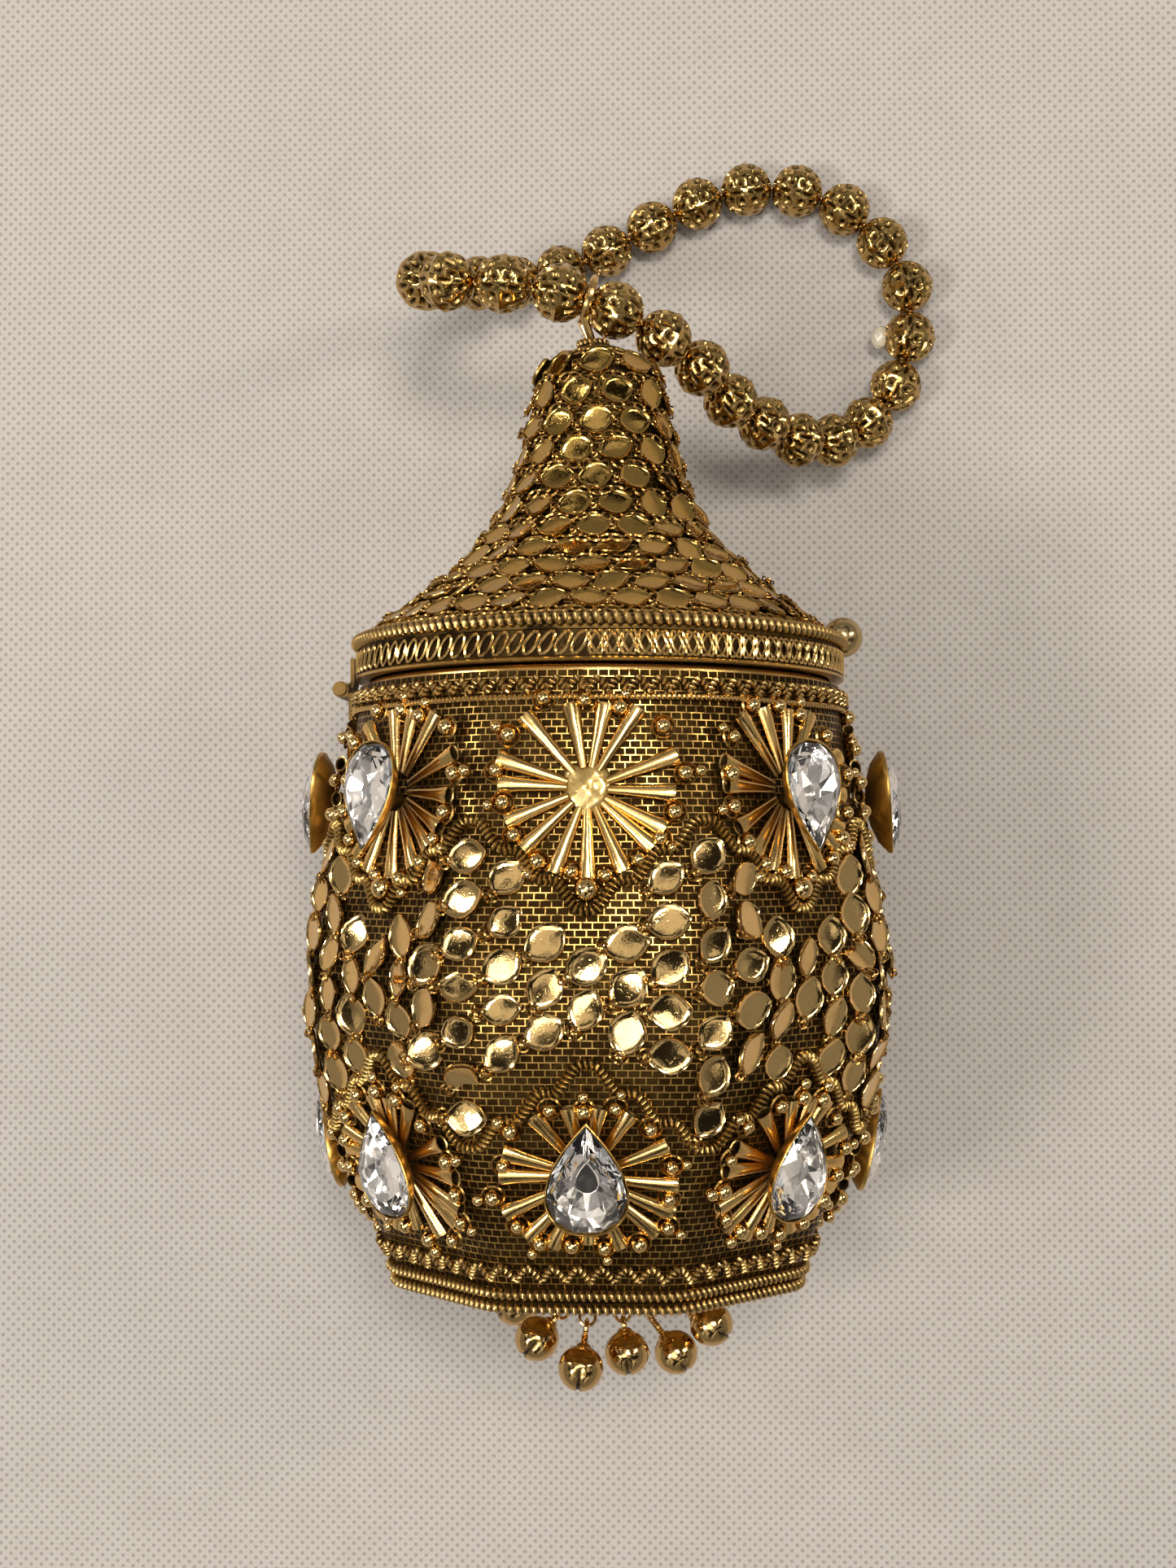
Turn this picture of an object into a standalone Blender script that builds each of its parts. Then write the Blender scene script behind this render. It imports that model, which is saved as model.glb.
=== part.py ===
"""A minaret-shaped metal evening bag that lies on its back.

The bag is drawn upright in its own frame: the mouth of the body is at z = 0, the
lid rises to +z, the base hangs to -z, the front faces -y, the lid hinge is at -x
and the clasp at +x.  The empty "bag_axis" then lays everything down, so that the
lid points along world +Y, the front faces up and the back stones touch z = 0.
Sizes are in millimetres and MM turns them into metres.
"""
import math

import bmesh
import bpy
import numpy as np
from mathutils import Matrix, Vector

MM = 0.001
GAP = 0.3  # clearance left between pieces that touch

# ---- driving dimensions ------------------------------------------------------
REST_RADIUS = 58.4  # bag axis to the tables of the two back stones
AXIS_SHIFT = 26.1  # places the middle of the bag's length over the origin
SIDES = 32  # facets around a shell
WALL = 0.9
LINING_WALL = 0.8

# z, inradius, squareness (8 is nearly round, 30 is a crisp octagon)
BODY_STATIONS = (
    (0.0, 46.7, 8.0),
    (-12.0, 47.3, 12.0),
    (-24.0, 48.7, 20.0),
    (-38.0, 51.4, 30.0),
    (-52.0, 53.2, 30.0),
    (-64.0, 53.1, 30.0),
    (-76.0, 50.7, 30.0),
    (-88.0, 46.9, 30.0),
    (-100.0, 42.2, 30.0),
    (-112.6, 36.9, 30.0),
)
LID_PROFILE = (
    (0.0, 68.6),
    (3.6, 68.1),
    (7.0, 66.6),
    (9.9, 64.2),
    (11.8, 60.6),
    (13.3, 53.0),
    (15.1, 44.9),
    (18.2, 36.9),
    (21.4, 30.5),
    (27.0, 24.1),
    (34.3, 17.7),
    (40.7, 12.9),
    (45.1, 9.7),
)
LID_FRAME = dict(outer=47.8, inner=45.0, low=1.6, high=8.5)
MOUTH_FRAME = dict(outer=45.4, inner=43.8, low=-5.0, high=1.2)
BASE_PLATE_THICK = 1.5
BOSS_RADIUS = 9.5
BOSS_LOW = -119.4

HINGE_X = -50.0
HINGE_HALF = 8.0
LID_KNUCKLE_HALF = 2.9
KNUCKLE_RADIUS = 1.6
BORE_RADIUS = 0.95
PIN_RADIUS = 0.6

BALL_CENTRE = (47.6, 0.0, 10.4)
BALL_RADIUS = 3.95
BALL_CLEARANCE = 0.65
CLASP_PIVOT = (43.5, 0.0, 10.0)
TONGUE_HALF = 1.5

STONE_WIDTH = 13.0
STONE_LENGTH = 18.0
UPPER_ROW = dict(z=-21.5, radius=58.4, tilt=6.0, tip=-1)
LOWER_ROW = dict(z=-87.8, radius=54.9, tilt=-12.0, tip=1)
POST_RADIUS = 1.4
STONE_POINTS = 12
FACE_NAMES = (
    "front",
    "front_right",
    "right",
    "back_right",
    "back",
    "back_left",
    "left",
    "front_left",
)

BELL_RADIUS = 4.3
RING_RADIUS = 1.5
WIRE_RADIUS = 0.35
RING_STEP = 2.0  # between the centres of an eyelet and of the ring it carries
UP = Vector((0.0, -1.0, 0.0))  # world up, seen in the bag's own frame
# eyelet centre and bell centre, each as x, height above the axis, z
BELLS = (
    ((-9.0, -5.2, -117.5), (-17.4, -10.0, -121.9)),
    ((-7.2, 3.8, -119.9), (-11.8, 6.2, -124.8)),
    ((-2.0, 8.0, -120.3), (-3.1, 12.0, -128.9)),
    ((4.6, 4.2, -120.3), (5.4, 5.0, -127.6)),
    ((7.8, -2.6, -119.9), (14.8, -5.0, -129.8)),
    ((10.2, -1.9, -117.5), (21.7, -4.0, -124.0)),
)

BEAD_RADIUS = 5.85
BEAD_COUNT = 27
BEAD_WAIST = 1.8
BAIL_RADIUS = 4.5
BAIL_WIRE = 0.65
# the strand's middle line, once round, as x, height above the axis, z
STRAND_ROUTE = (
    (3.2, 1.5, 75.3),
    (12.6, -3.0, 70.8),
    (20.1, -10.0, 66.7),
    (26.2, -18.8, 61.9),
    (33.4, -27.0, 58.9),
    (41.0, -35.2, 57.0),
    (49.2, -43.2, 58.4),
    (57.4, -49.6, 63.8),
    (63.9, -52.3, 72.6),
    (66.9, -52.4, 83.5),
    (66.4, -52.4, 95.0),
    (60.8, -52.4, 105.0),
    (51.8, -52.4, 112.9),
    (40.2, -52.4, 117.2),
    (28.0, -52.4, 116.9),
    (16.8, -52.4, 113.0),
    (6.6, -52.4, 107.6),
    (-3.6, -52.2, 102.4),
    (-13.6, -50.2, 97.9),
    (-22.6, -44.8, 94.6),
    (-29.6, -36.4, 92.4),
    (-34.0, -26.2, 90.0),
    (-36.0, -15.4, 86.8),
    (-35.2, -4.8, 83.6),
    (-30.0, 2.4, 81.3),
    (-20.6, 4.0, 80.4),
    (-9.2, 3.2, 78.9),
)

GOLD = (0.72, 0.53, 0.23)
DARK_GOLD = (0.42, 0.28, 0.11)
BALL_BRASS = (0.62, 0.48, 0.30)
CRYSTAL = (0.93, 0.95, 0.97)
GLUE = (0.80, 0.66, 0.38)
SATIN = (0.52, 0.40, 0.24)


# ---- scene helpers -----------------------------------------------------------
def clear_scene():
    for old in list(bpy.data.objects):
        bpy.data.objects.remove(old, do_unlink=True)


def collection(name):
    made = bpy.data.collections.new(name)
    bpy.context.scene.collection.children.link(made)
    return made


def finish_material(name, colour, metallic, roughness):
    made = bpy.data.materials.new(name)
    made.use_nodes = True
    shader = made.node_tree.nodes["Principled BSDF"]
    shader.inputs["Base Color"].default_value = (*colour, 1.0)
    shader.inputs["Metallic"].default_value = metallic
    shader.inputs["Roughness"].default_value = roughness
    return made


def empty(name, place, parent=None):
    """An axis marker at a place in the bag's frame."""
    made = bpy.data.objects.new(name, None)
    PARTS.objects.link(made)
    made.parent = parent
    made.location = Vector(place) * MM
    return made


def add(name, data, colour, metallic=1.0, roughness=0.3, axis=None, group=None):
    """Link an object drawn in the bag's frame, hung on an axis empty."""
    made = bpy.data.objects.new(name, data)
    (group or PARTS).objects.link(made)
    made.parent = axis or BAG
    if axis is not None:
        made.matrix_parent_inverse = Matrix.Translation(-axis.location)
    if data.materials:
        data.materials.clear()
    data.materials.append(finish_material(name, colour, metallic, roughness))
    return made


def cutter(name, mesh):
    """A helper solid that a Boolean reads and that is no part itself."""
    made = bpy.data.objects.new(name, mesh)
    CUTTERS.objects.link(made)
    made.parent = BAG
    made.hide_render = True
    made.display_type = "WIRE"
    return made


def combine(piece, operation, operand):
    made = piece.modifiers.new(f"{operation.lower()}_{operand.name}", "BOOLEAN")
    made.operation = operation
    made.solver = "EXACT"
    made.object = operand
    return made


def thicken(piece, thickness):
    """Give an open outward-facing surface a wall on its inner side."""
    made = piece.modifiers.new("wall", "SOLIDIFY")
    made.thickness = thickness * MM
    made.offset = -1.0
    made.use_even_offset = True


# ---- mesh makers -------------------------------------------------------------
def mesh_from_bmesh(name, built, smooth=35.0):
    mesh = bpy.data.meshes.new(name)
    built.to_mesh(mesh)
    built.free()
    mesh.shade_smooth()
    mesh.set_sharp_from_angle(angle=math.radians(smooth))
    return mesh


def loft(name, rings, caps=(False, False), closed=False):
    """Join rings of equal point count, listed from top to bottom, with quads."""
    built = bmesh.new()
    loops = [[built.verts.new(Vector(point) * MM) for point in ring] for ring in rings]
    pairs = list(zip(loops, loops[1:]))
    if closed:
        pairs.append((loops[-1], loops[0]))
    for above, below in pairs:
        count = len(above)
        for j in range(count):
            k = (j + 1) % count
            built.faces.new((above[j], below[j], below[k], above[k]))
    if caps[0]:
        built.faces.new(loops[0])
    if caps[1]:
        built.faces.new(list(reversed(loops[-1])))
    if all(caps) or closed:
        bmesh.ops.recalc_face_normals(built, faces=built.faces)
    return mesh_from_bmesh(name, built)


def add_turned(name, outline, colour, steps=SIDES, closed=False, **options):
    """A profile of (radius, z) points, top to bottom, with a Screw modifier on it."""
    mesh = bpy.data.meshes.new(name)
    points = [(radius * MM, 0.0, z * MM) for radius, z in outline]
    edges = [(i, i + 1) for i in range(len(points) - 1)]
    if closed:
        edges.append((len(points) - 1, 0))
    mesh.from_pydata(points, edges, [])
    piece = add(name, mesh, colour, **options)
    screw = piece.modifiers.new("turn", "SCREW")
    screw.axis = "Z"
    screw.angle = math.tau
    screw.steps = steps
    screw.render_steps = steps
    screw.use_merge_vertices = True
    screw.merge_threshold = 1e-6
    screw.use_smooth_shade = True
    return piece


def box(name, low, high):
    built = bmesh.new()
    size = Vector(high) - Vector(low)
    middle = (Vector(high) + Vector(low)) / 2
    place = Matrix.Translation(middle * MM) @ Matrix.Diagonal((*(size * MM), 1.0))
    bmesh.ops.create_cube(built, size=1.0, matrix=place)
    return mesh_from_bmesh(name, built)


def ball(name, centre, radius, segments=14, rings=9):
    built = bmesh.new()
    place = Matrix.Translation(Vector(centre) * MM)
    bmesh.ops.create_uvsphere(
        built, u_segments=segments, v_segments=rings, radius=radius * MM, matrix=place
    )
    return mesh_from_bmesh(name, built)


def extruded(name, outline, holes, half_width):
    """An outline in x and z, with holes, as a closed slab from -y to +y."""
    curve = bpy.data.curves.new(name, "CURVE")
    curve.dimensions = "2D"
    curve.fill_mode = "BOTH"
    curve.extrude = half_width * MM
    for points in (outline, *holes):
        spline = curve.splines.new("POLY")
        spline.points.add(len(points) - 1)
        spline.use_cyclic_u = True
        for slot, (x, z) in zip(spline.points, points):
            slot.co = (x * MM, z * MM, 0.0, 1.0)
    drawn = bpy.data.objects.new(name, curve)
    bpy.context.scene.collection.objects.link(drawn)
    graph = bpy.context.evaluated_depsgraph_get()
    mesh = bpy.data.meshes.new_from_object(drawn.evaluated_get(graph))
    bpy.data.objects.remove(drawn, do_unlink=True)
    mesh.transform(Matrix.Rotation(math.pi / 2, 4, "X"))
    built = bmesh.new()
    built.from_mesh(mesh)
    bpy.data.meshes.remove(mesh)
    bmesh.ops.remove_doubles(built, verts=built.verts, dist=1e-6)
    bmesh.ops.recalc_face_normals(built, faces=built.faces)
    return mesh_from_bmesh(name, built)


def arc(centre, radius, start, end, count):
    """Points on a circle in x and z, angles in degrees, ends included."""
    angles = np.radians(np.linspace(start, end, count))
    return [
        (centre[0] + radius * math.cos(a), centre[1] + radius * math.sin(a))
        for a in angles
    ]


# ---- the body's soft octagon -------------------------------------------------
def body_at(z):
    """Inradius and squareness of the body's outer surface at a height."""
    heights = [station[0] for station in reversed(BODY_STATIONS)]
    radii = [station[1] for station in reversed(BODY_STATIONS)]
    squares = [station[2] for station in reversed(BODY_STATIONS)]
    return float(np.interp(z, heights, radii)), float(np.interp(z, heights, squares))


def octagon_sum(angle, squareness):
    flats = (angle - k * math.pi / 4 for k in range(4))
    return sum(abs(math.cos(flat)) ** squareness for flat in flats)


def octagon_ring(z, inset=0.0, sides=SIDES, inradius=None):
    """A ring whose flats stand at the inradius and whose corners are soft."""
    radius, squareness = body_at(z)
    radius = (radius if inradius is None else inradius) - inset
    flat = octagon_sum(0.0, squareness)
    points = []
    for j in range(sides):
        angle = math.tau * j / sides
        reach = radius * (flat / octagon_sum(angle, squareness)) ** (1 / squareness)
        points.append((reach * math.cos(angle), reach * math.sin(angle), z))
    return points


def facet_slope(z):
    """Lean of the facet, in radians: positive where the body widens downwards."""
    above, _ = body_at(z + 4.0)
    below, _ = body_at(z - 4.0)
    return math.atan2(below - above, 8.0)


# ---- body pieces -------------------------------------------------------------
def make_body():
    base = BODY_STATIONS[-1][0]
    rings = [octagon_ring(z) for z, _, _ in BODY_STATIONS]
    shell = add("body_shell", loft("body_shell", rings), GOLD)
    thicken(shell, WALL)

    inset = WALL + 2 * GAP
    floor = base + BASE_PLATE_THICK + 2 * GAP
    heights = (MOUTH_FRAME["low"] - GAP, -24.0, -38.0, -58.0, -76.0, floor)
    rings = [octagon_ring(z, inset, SIDES // 2) for z in heights]
    lining = loft("body_lining", rings, caps=(False, True))
    lining = add("body_lining", lining, SATIN, metallic=0.0, roughness=0.7)
    thicken(lining, LINING_WALL)

    top = base + GAP + BASE_PLATE_THICK
    rings = [octagon_ring(z, inset, SIDES // 2, body_at(base)[0]) for z in (top, base + GAP)]
    add("base_plate", loft("base_plate", rings, caps=(True, True)), GOLD)

    add_turned("mouth_frame", ring_profile(**MOUTH_FRAME), GOLD, closed=True)

    slot = cutter("hinge_gap", box("hinge_gap", (-54, -HINGE_HALF - 1, -8), (-42, HINGE_HALF + 1, 2)))
    trim = add("mouth_trim", octagon_trim("mouth_trim", -2.9, -0.6), GOLD)
    combine(trim, "DIFFERENCE", slot)
    add("base_trim", octagon_trim("base_trim", base - 0.4, base + 2.2), GOLD)


def ring_profile(outer, inner, low, high):
    return ((outer, high), (outer, low), (inner, low), (inner, high))


def octagon_trim(name, low, high, thick=1.3):
    """A square-section ring that hugs the outside of the body."""
    corners = ((GAP, high), (GAP + thick, high), (GAP + thick, low), (GAP, low))
    widest = max(body_at(low)[0], body_at(high)[0])
    return loft(
        name, [octagon_ring(z, -out, SIDES, widest) for out, z in corners], closed=True
    )


def bell_axis(eyelet, bell):
    """Direction of the hanging bell and of the axis that swings it upwards."""
    hang = (Vector(bell) - Vector(eyelet)).normalized()
    return hang, hang.cross(UP).normalized()


def bag_point(x, height, z):
    """From x, height above the lying axis and z to the bag's own frame."""
    return Vector((x, -height, z))


def ring_matrix(centre, along, across):
    """Places a torus drawn about z so that its plane holds along and across."""
    normal = along.cross(across).normalized()
    turn = Matrix((along, across, normal)).transposed().to_4x4()
    return Matrix.Translation(Vector(centre) * MM) @ turn


def add_torus(built, place, radius=RING_RADIUS, wire=WIRE_RADIUS, around=12, about=6):
    """Add a wire ring to a bmesh."""
    rows = []
    for i in range(around):
        a = math.tau * i / around
        row = []
        for j in range(about):
            b = math.tau * j / about
            reach = (radius + wire * math.cos(b)) * MM
            point = Vector((reach * math.cos(a), reach * math.sin(a), wire * math.sin(b) * MM))
            row.append(built.verts.new(place @ point))
        rows.append(row)
    for i in range(around):
        for j in range(about):
            k, m = (i + 1) % around, (j + 1) % about
            built.faces.new((rows[i][j], rows[k][j], rows[k][m], rows[i][m]))


def make_base():
    base = BODY_STATIONS[-1][0]
    outline = (
        (0.0, base - GAP),
        (BOSS_RADIUS - 1.5, base - GAP),
        (BOSS_RADIUS, base - GAP - 1.0),
        (BOSS_RADIUS, BOSS_LOW + 0.6),
        (BOSS_RADIUS - 0.6, BOSS_LOW),
        (0.0, BOSS_LOW),
    )
    boss = add_turned("base_boss", outline, GOLD, steps=24)
    built = bmesh.new()
    for eyelet, bell in BELLS:
        eyelet, bell = bag_point(*eyelet), bag_point(*bell)
        hang, axis = bell_axis(eyelet, bell)
        add_torus(built, ring_matrix(eyelet, hang, axis))
    bmesh.ops.recalc_face_normals(built, faces=built.faces)
    combine(boss, "UNION", cutter("eyelets", mesh_from_bmesh("eyelets", built)))


def make_bells():
    for number, (eyelet, bell) in enumerate(BELLS, start=1):
        eyelet, bell = bag_point(*eyelet), bag_point(*bell)
        hang, axis = bell_axis(eyelet, bell)
        pivot = eyelet + hang * RING_RADIUS
        marker = empty(f"bell_{number}_axis", pivot, BAG)
        ring_centre = eyelet + hang * RING_STEP
        reach = (bell - ring_centre).length
        outline = [(0.0, reach - RING_RADIUS + 0.15), (0.5, reach - RING_RADIUS + 0.15)]
        first = math.degrees(math.asin(0.5 / BELL_RADIUS))
        outline += [
            (BELL_RADIUS * math.sin(a), BELL_RADIUS * math.cos(a))
            for a in np.radians(np.linspace(first, 180.0, 8))
        ]
        outline[-1] = (0.0, -BELL_RADIUS)
        piece = add_turned(f"bell_{number}", outline, GOLD, steps=12, axis=marker)
        turn = (-hang).to_track_quat("Z", "Y").to_matrix().to_4x4()
        piece.data.transform(turn)
        piece.data.transform(Matrix.Translation(bell * MM))
        screw_about(piece, bell, -hang)
        built = bmesh.new()
        add_torus(built, ring_matrix(ring_centre, hang, hang.cross(axis)))
        bmesh.ops.recalc_face_normals(built, faces=built.faces)
        shank = cutter(f"bell_{number}_ring", mesh_from_bmesh("shank", built))
        combine(piece, "UNION", shank)


def screw_about(piece, centre, direction):
    """Turn a piece's Screw modifier about a line instead of its own z axis."""
    line = bpy.data.objects.new(f"{piece.name}_line", None)
    CUTTERS.objects.link(line)
    line.parent = BAG
    line.location = Vector(centre) * MM
    line.rotation_euler = direction.to_track_quat("Z", "Y").to_euler()
    piece.modifiers["turn"].object = line


# ---- stones ------------------------------------------------------------------
def pear_ring(scale, height):
    """A pear outline with its tip at +y: x = sin t sin(t/2), y = cos t."""
    widest = 0.7698
    points = []
    for i in range(STONE_POINTS):
        t = math.tau * i / STONE_POINTS
        x = STONE_WIDTH / 2 * math.sin(t) * math.sin(t / 2) / widest
        points.append((x * scale, STONE_LENGTH / 2 * math.cos(t) * scale, height))
    return points


def round_ring(radius, height):
    steps = (math.tau * i / STONE_POINTS for i in range(STONE_POINTS))
    return [(radius * math.sin(t), radius * math.cos(t), height) for t in steps]


def stone_frame(face, z, radius, tilt, tip):
    """Matrix whose +z leaves the bag through the stone's table."""
    angle = face * math.pi / 4
    outward = Vector((math.sin(angle), -math.cos(angle), 0.0))
    lean = math.radians(tilt)
    lidward = Vector((0.0, 0.0, 1.0))
    across = Vector((math.cos(angle), math.sin(angle), 0.0))
    normal = outward * math.cos(lean) + lidward * math.sin(lean)
    along = lidward * math.cos(lean) - outward * math.sin(lean)
    turn = Matrix((across * tip, along * tip, normal)).transposed().to_4x4()
    return Matrix.Translation((outward * radius + lidward * z) * MM) @ turn


def post_length(z, radius, tilt):
    """From the table's plane down to just above the sloping facet."""
    slope, lean = facet_slope(z), math.radians(tilt)
    reach = (radius - body_at(z)[0]) * math.cos(slope) / math.cos(slope - lean)
    return reach - POST_RADIUS * abs(math.tan(slope - lean)) - GAP


def make_stones():
    for row_name, row in (("upper", UPPER_ROW), ("lower", LOWER_ROW)):
        for face, face_name in enumerate(FACE_NAMES):
            if row_name == "upper" and face_name == "front":
                continue
            spot = dict(row)
            if face_name == "back":  # pressed level by the bag's weight
                spot.update(radius=REST_RADIUS, tilt=0.0)
            frame = stone_frame(face, **spot)
            place = f"{row_name}_{face_name}"
            rings = [pear_ring(0.8, 0.0), pear_ring(1.0, -2.9), pear_ring(0.45, -5.3)]
            mesh = loft("stone", rings, caps=(True, True))
            mesh.transform(frame)
            add(f"stone_{place}", mesh, CRYSTAL, metallic=0.0, roughness=0.05)

            reach = post_length(spot["z"], spot["radius"], spot["tilt"])
            rings = [
                pear_ring(0.50, -5.75),
                pear_ring(1.0, -3.3),
                pear_ring(1.06, -3.3),
                pear_ring(0.52, -6.2),
                round_ring(POST_RADIUS, -6.3),
                round_ring(POST_RADIUS, -reach),
            ]
            mesh = loft("cup", rings, caps=(True, True))
            mesh.transform(frame)
            add(f"cup_{place}", mesh, DARK_GOLD)


def make_glue_pad():
    """The dried pad left on the facet where the front upper stone is missing."""
    z = UPPER_ROW["z"] + 0.6
    slope = facet_slope(z)
    frame = stone_frame(0, z, body_at(z)[0], math.degrees(slope), -1)
    rings = [pear_ring(0.52, 1.1), pear_ring(0.6, GAP)]
    mesh = loft("glue_pad", rings, caps=(True, True))
    mesh.transform(frame)
    add("glue_pad", mesh, GLUE, metallic=0.3, roughness=0.4)


# ---- lid pieces --------------------------------------------------------------
def make_lid(axis):
    shell = add_turned("lid_shell", LID_PROFILE, GOLD, axis=axis)
    thicken(shell, WALL)
    dimple = cutter("ball_room", ball("ball_room", BALL_CENTRE, BALL_RADIUS + BALL_CLEARANCE))
    slot = cutter("stem_room", box("stem_room", (38, -2.1, 8.0), (48, 2.1, 11.8)))
    combine(shell, "DIFFERENCE", dimple)
    combine(shell, "DIFFERENCE", slot)

    frame = add_turned("lid_frame", ring_profile(**LID_FRAME), GOLD, closed=True, axis=axis)
    combine(frame, "DIFFERENCE", dimple)

    inset = 2.4
    outline = [(max(radius - inset, 0.0), z - 1.6) for radius, z in LID_PROFILE[::2]]
    outline = [point for point in outline if point[1] > 13.0]
    outline[1:] = [(radius, z) for radius, z in outline[1:] if radius > 0.0]
    lining = add_turned(
        "lid_lining", outline, SATIN, steps=16, axis=axis, metallic=0.0, roughness=0.7
    )
    thicken(lining, LINING_WALL)


def make_hinge(lid_axis):
    centre = (HINGE_X, 0.0)
    bore = arc(centre, BORE_RADIUS, 0, 324, 10)
    outline = [
        (HINGE_X + 1.44, -0.7),
        (-47.6, -0.7),
        (-47.6, -6.0),
        (-48.4, -6.0),
        (-48.4, -1.5),
        (HINGE_X + 0.56, -1.5),
    ]
    outline = outline[::-1] + arc(centre, KNUCKLE_RADIUS, -10, 275, 11)
    leaf = add("hinge_leaf_body", extruded("hinge_leaf_body", outline, (bore,), HINGE_HALF), GOLD)
    gap = LID_KNUCKLE_HALF + GAP
    room = cutter("knuckle_room", box("knuckle_room", (-53, -gap, -3), (-48.1, gap, 3)))
    combine(leaf, "DIFFERENCE", room)

    outline = [
        (HINGE_X + 1.52, 0.5),
        (-48.15, 1.6),
        (-48.15, 6.5),
        (-48.95, 6.5),
        (-48.95, 1.9),
        (HINGE_X + 0.7, 1.44),
    ]
    outline += arc(centre, KNUCKLE_RADIUS, 80, 365, 11)
    mesh = extruded("hinge_leaf_lid", outline, (bore,), LID_KNUCKLE_HALF)
    add("hinge_leaf_lid", mesh, GOLD, axis=lid_axis)

    head = HINGE_HALF + GAP
    outline = (
        (0.0, head + 0.8),
        (1.3, head + 0.8),
        (1.3, head),
        (PIN_RADIUS, head),
        (PIN_RADIUS, -head),
        (1.3, -head),
        (1.3, -head - 0.8),
        (0.0, -head - 0.8),
    )
    pin = add_turned("hinge_pin", outline, GOLD, steps=10)
    pin.location = Vector((HINGE_X, 0.0, 0.0)) * MM
    pin.rotation_euler = (math.pi / 2, 0.0, 0.0)


def make_clasp(axis):
    outline = (
        (43.3, 9.8),
        (43.3, 11.0),
        (40.5, 11.0),
        (40.5, -4.5),
        (42.0, -4.5),
        (43.1, -3.4),
        (42.0, -2.4),
        (41.3, -2.4),
        (41.3, 9.8),
    )
    add("clasp_tongue", extruded("clasp_tongue", outline, (), TONGUE_HALF), GOLD, axis=axis)
    mesh = ball("clasp_ball", BALL_CENTRE, BALL_RADIUS, 16, 10)
    add("clasp_ball", mesh, BALL_BRASS, roughness=0.45, axis=axis)


# ---- bead strand and bail ----------------------------------------------------
def closed_curve(points, count):
    """Samples of the closed Catmull-Rom curve through the points."""
    points = np.array(points, float)
    samples = []
    for i in range(len(points)):
        p0, p1, p2, p3 = (points[(i + k - 1) % len(points)] for k in range(4))
        for t in np.arange(count) / count:
            samples.append(
                0.5
                * (
                    2 * p1
                    + (p2 - p0) * t
                    + (2 * p0 - 5 * p1 + 4 * p2 - p3) * t**2
                    + (3 * p1 - p0 - 3 * p2 + p3) * t**3
                )
            )
    return np.array(samples)


def strand_reader():
    """A function that gives the strand's point at a share of its length."""
    route = [tuple(bag_point(*point)) for point in STRAND_ROUTE]
    fine = closed_curve(route, 24)
    fine = np.vstack([fine, fine[:1]])
    steps = np.linalg.norm(np.diff(fine, axis=0), axis=1)
    travelled = np.concatenate([[0.0], np.cumsum(steps)])

    def at(share):
        length = (share % 1.0) * travelled[-1]
        return Vector([float(np.interp(length, travelled, fine[:, k])) for k in range(3)])

    return at


def make_strand(axis):
    """One closed tube, pinched between the beads."""
    at = strand_reader()
    curve = bpy.data.curves.new("bead_strand", "CURVE")
    curve.dimensions = "3D"
    curve.bevel_depth = BEAD_RADIUS * MM
    curve.bevel_resolution = 2
    curve.use_fill_caps = True
    spline = curve.splines.new("POLY")
    spline.points.add(3 * BEAD_COUNT - 1)
    spline.use_cyclic_u = True
    shape = ((-0.5, BEAD_WAIST / BEAD_RADIUS), (-0.22, 0.98), (0.22, 0.98))
    for i, slot in enumerate(spline.points):
        bead, (offset, radius) = i // 3, shape[i % 3]
        slot.co = (*(at((bead + offset) / BEAD_COUNT) * MM), 1.0)
        slot.radius = radius
    add("bead_strand", curve, GOLD, axis=axis)


def make_bail(axis):
    """A wire eye round the strand, with its two ends in the top of the lid."""
    at = strand_reader()
    middle = at(-0.5 / BEAD_COUNT)
    tangent = (at(-0.4 / BEAD_COUNT) - at(-0.6 / BEAD_COUNT)).normalized()
    lidward = Vector((0.0, 0.0, 1.0))
    rise = (lidward - tangent * tangent.dot(lidward)).normalized()
    across = tangent.cross(rise)
    points = []
    for angle in np.radians(np.linspace(-58.0, 238.0, 17)):
        points.append(middle + (across * math.cos(angle) + rise * math.sin(angle)) * BAIL_RADIUS)
    foot = LID_PROFILE[0][1] + 2 * GAP
    for end, neighbour in ((0, points[0]), (len(points), points[-1])):
        side = 1.0 if neighbour.y > middle.y else -1.0
        leg = Vector((middle.x * 0.6, side * 1.3 + middle.y * 0.4, foot))
        points.insert(0 if end == 0 else len(points), leg)
    curve = bpy.data.curves.new("bail", "CURVE")
    curve.dimensions = "3D"
    curve.bevel_depth = BAIL_WIRE * MM
    curve.bevel_resolution = 2
    curve.use_fill_caps = True
    spline = curve.splines.new("POLY")
    spline.points.add(len(points) - 1)
    for slot, point in zip(spline.points, points):
        slot.co = (*(point * MM), 1.0)
    add("bail", curve, GOLD, axis=axis)


clear_scene()
PARTS = collection("evening_bag")
CUTTERS = collection("cutters")
BAG = bpy.data.objects.new("bag_axis", None)
PARTS.objects.link(BAG)
BAG.location = (0.0, AXIS_SHIFT * MM, REST_RADIUS * MM)
BAG.rotation_euler = (-math.pi / 2, 0.0, 0.0)
LID_AXIS = empty("lid_axis", (HINGE_X, 0.0, 0.0), BAG)
CLASP_AXIS = empty("clasp_axis", CLASP_PIVOT, BAG)

make_body()
make_base()
make_bells()
make_stones()
make_glue_pad()
make_lid(LID_AXIS)
make_hinge(LID_AXIS)
make_clasp(CLASP_AXIS)
make_strand(LID_AXIS)
make_bail(LID_AXIS)
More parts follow.
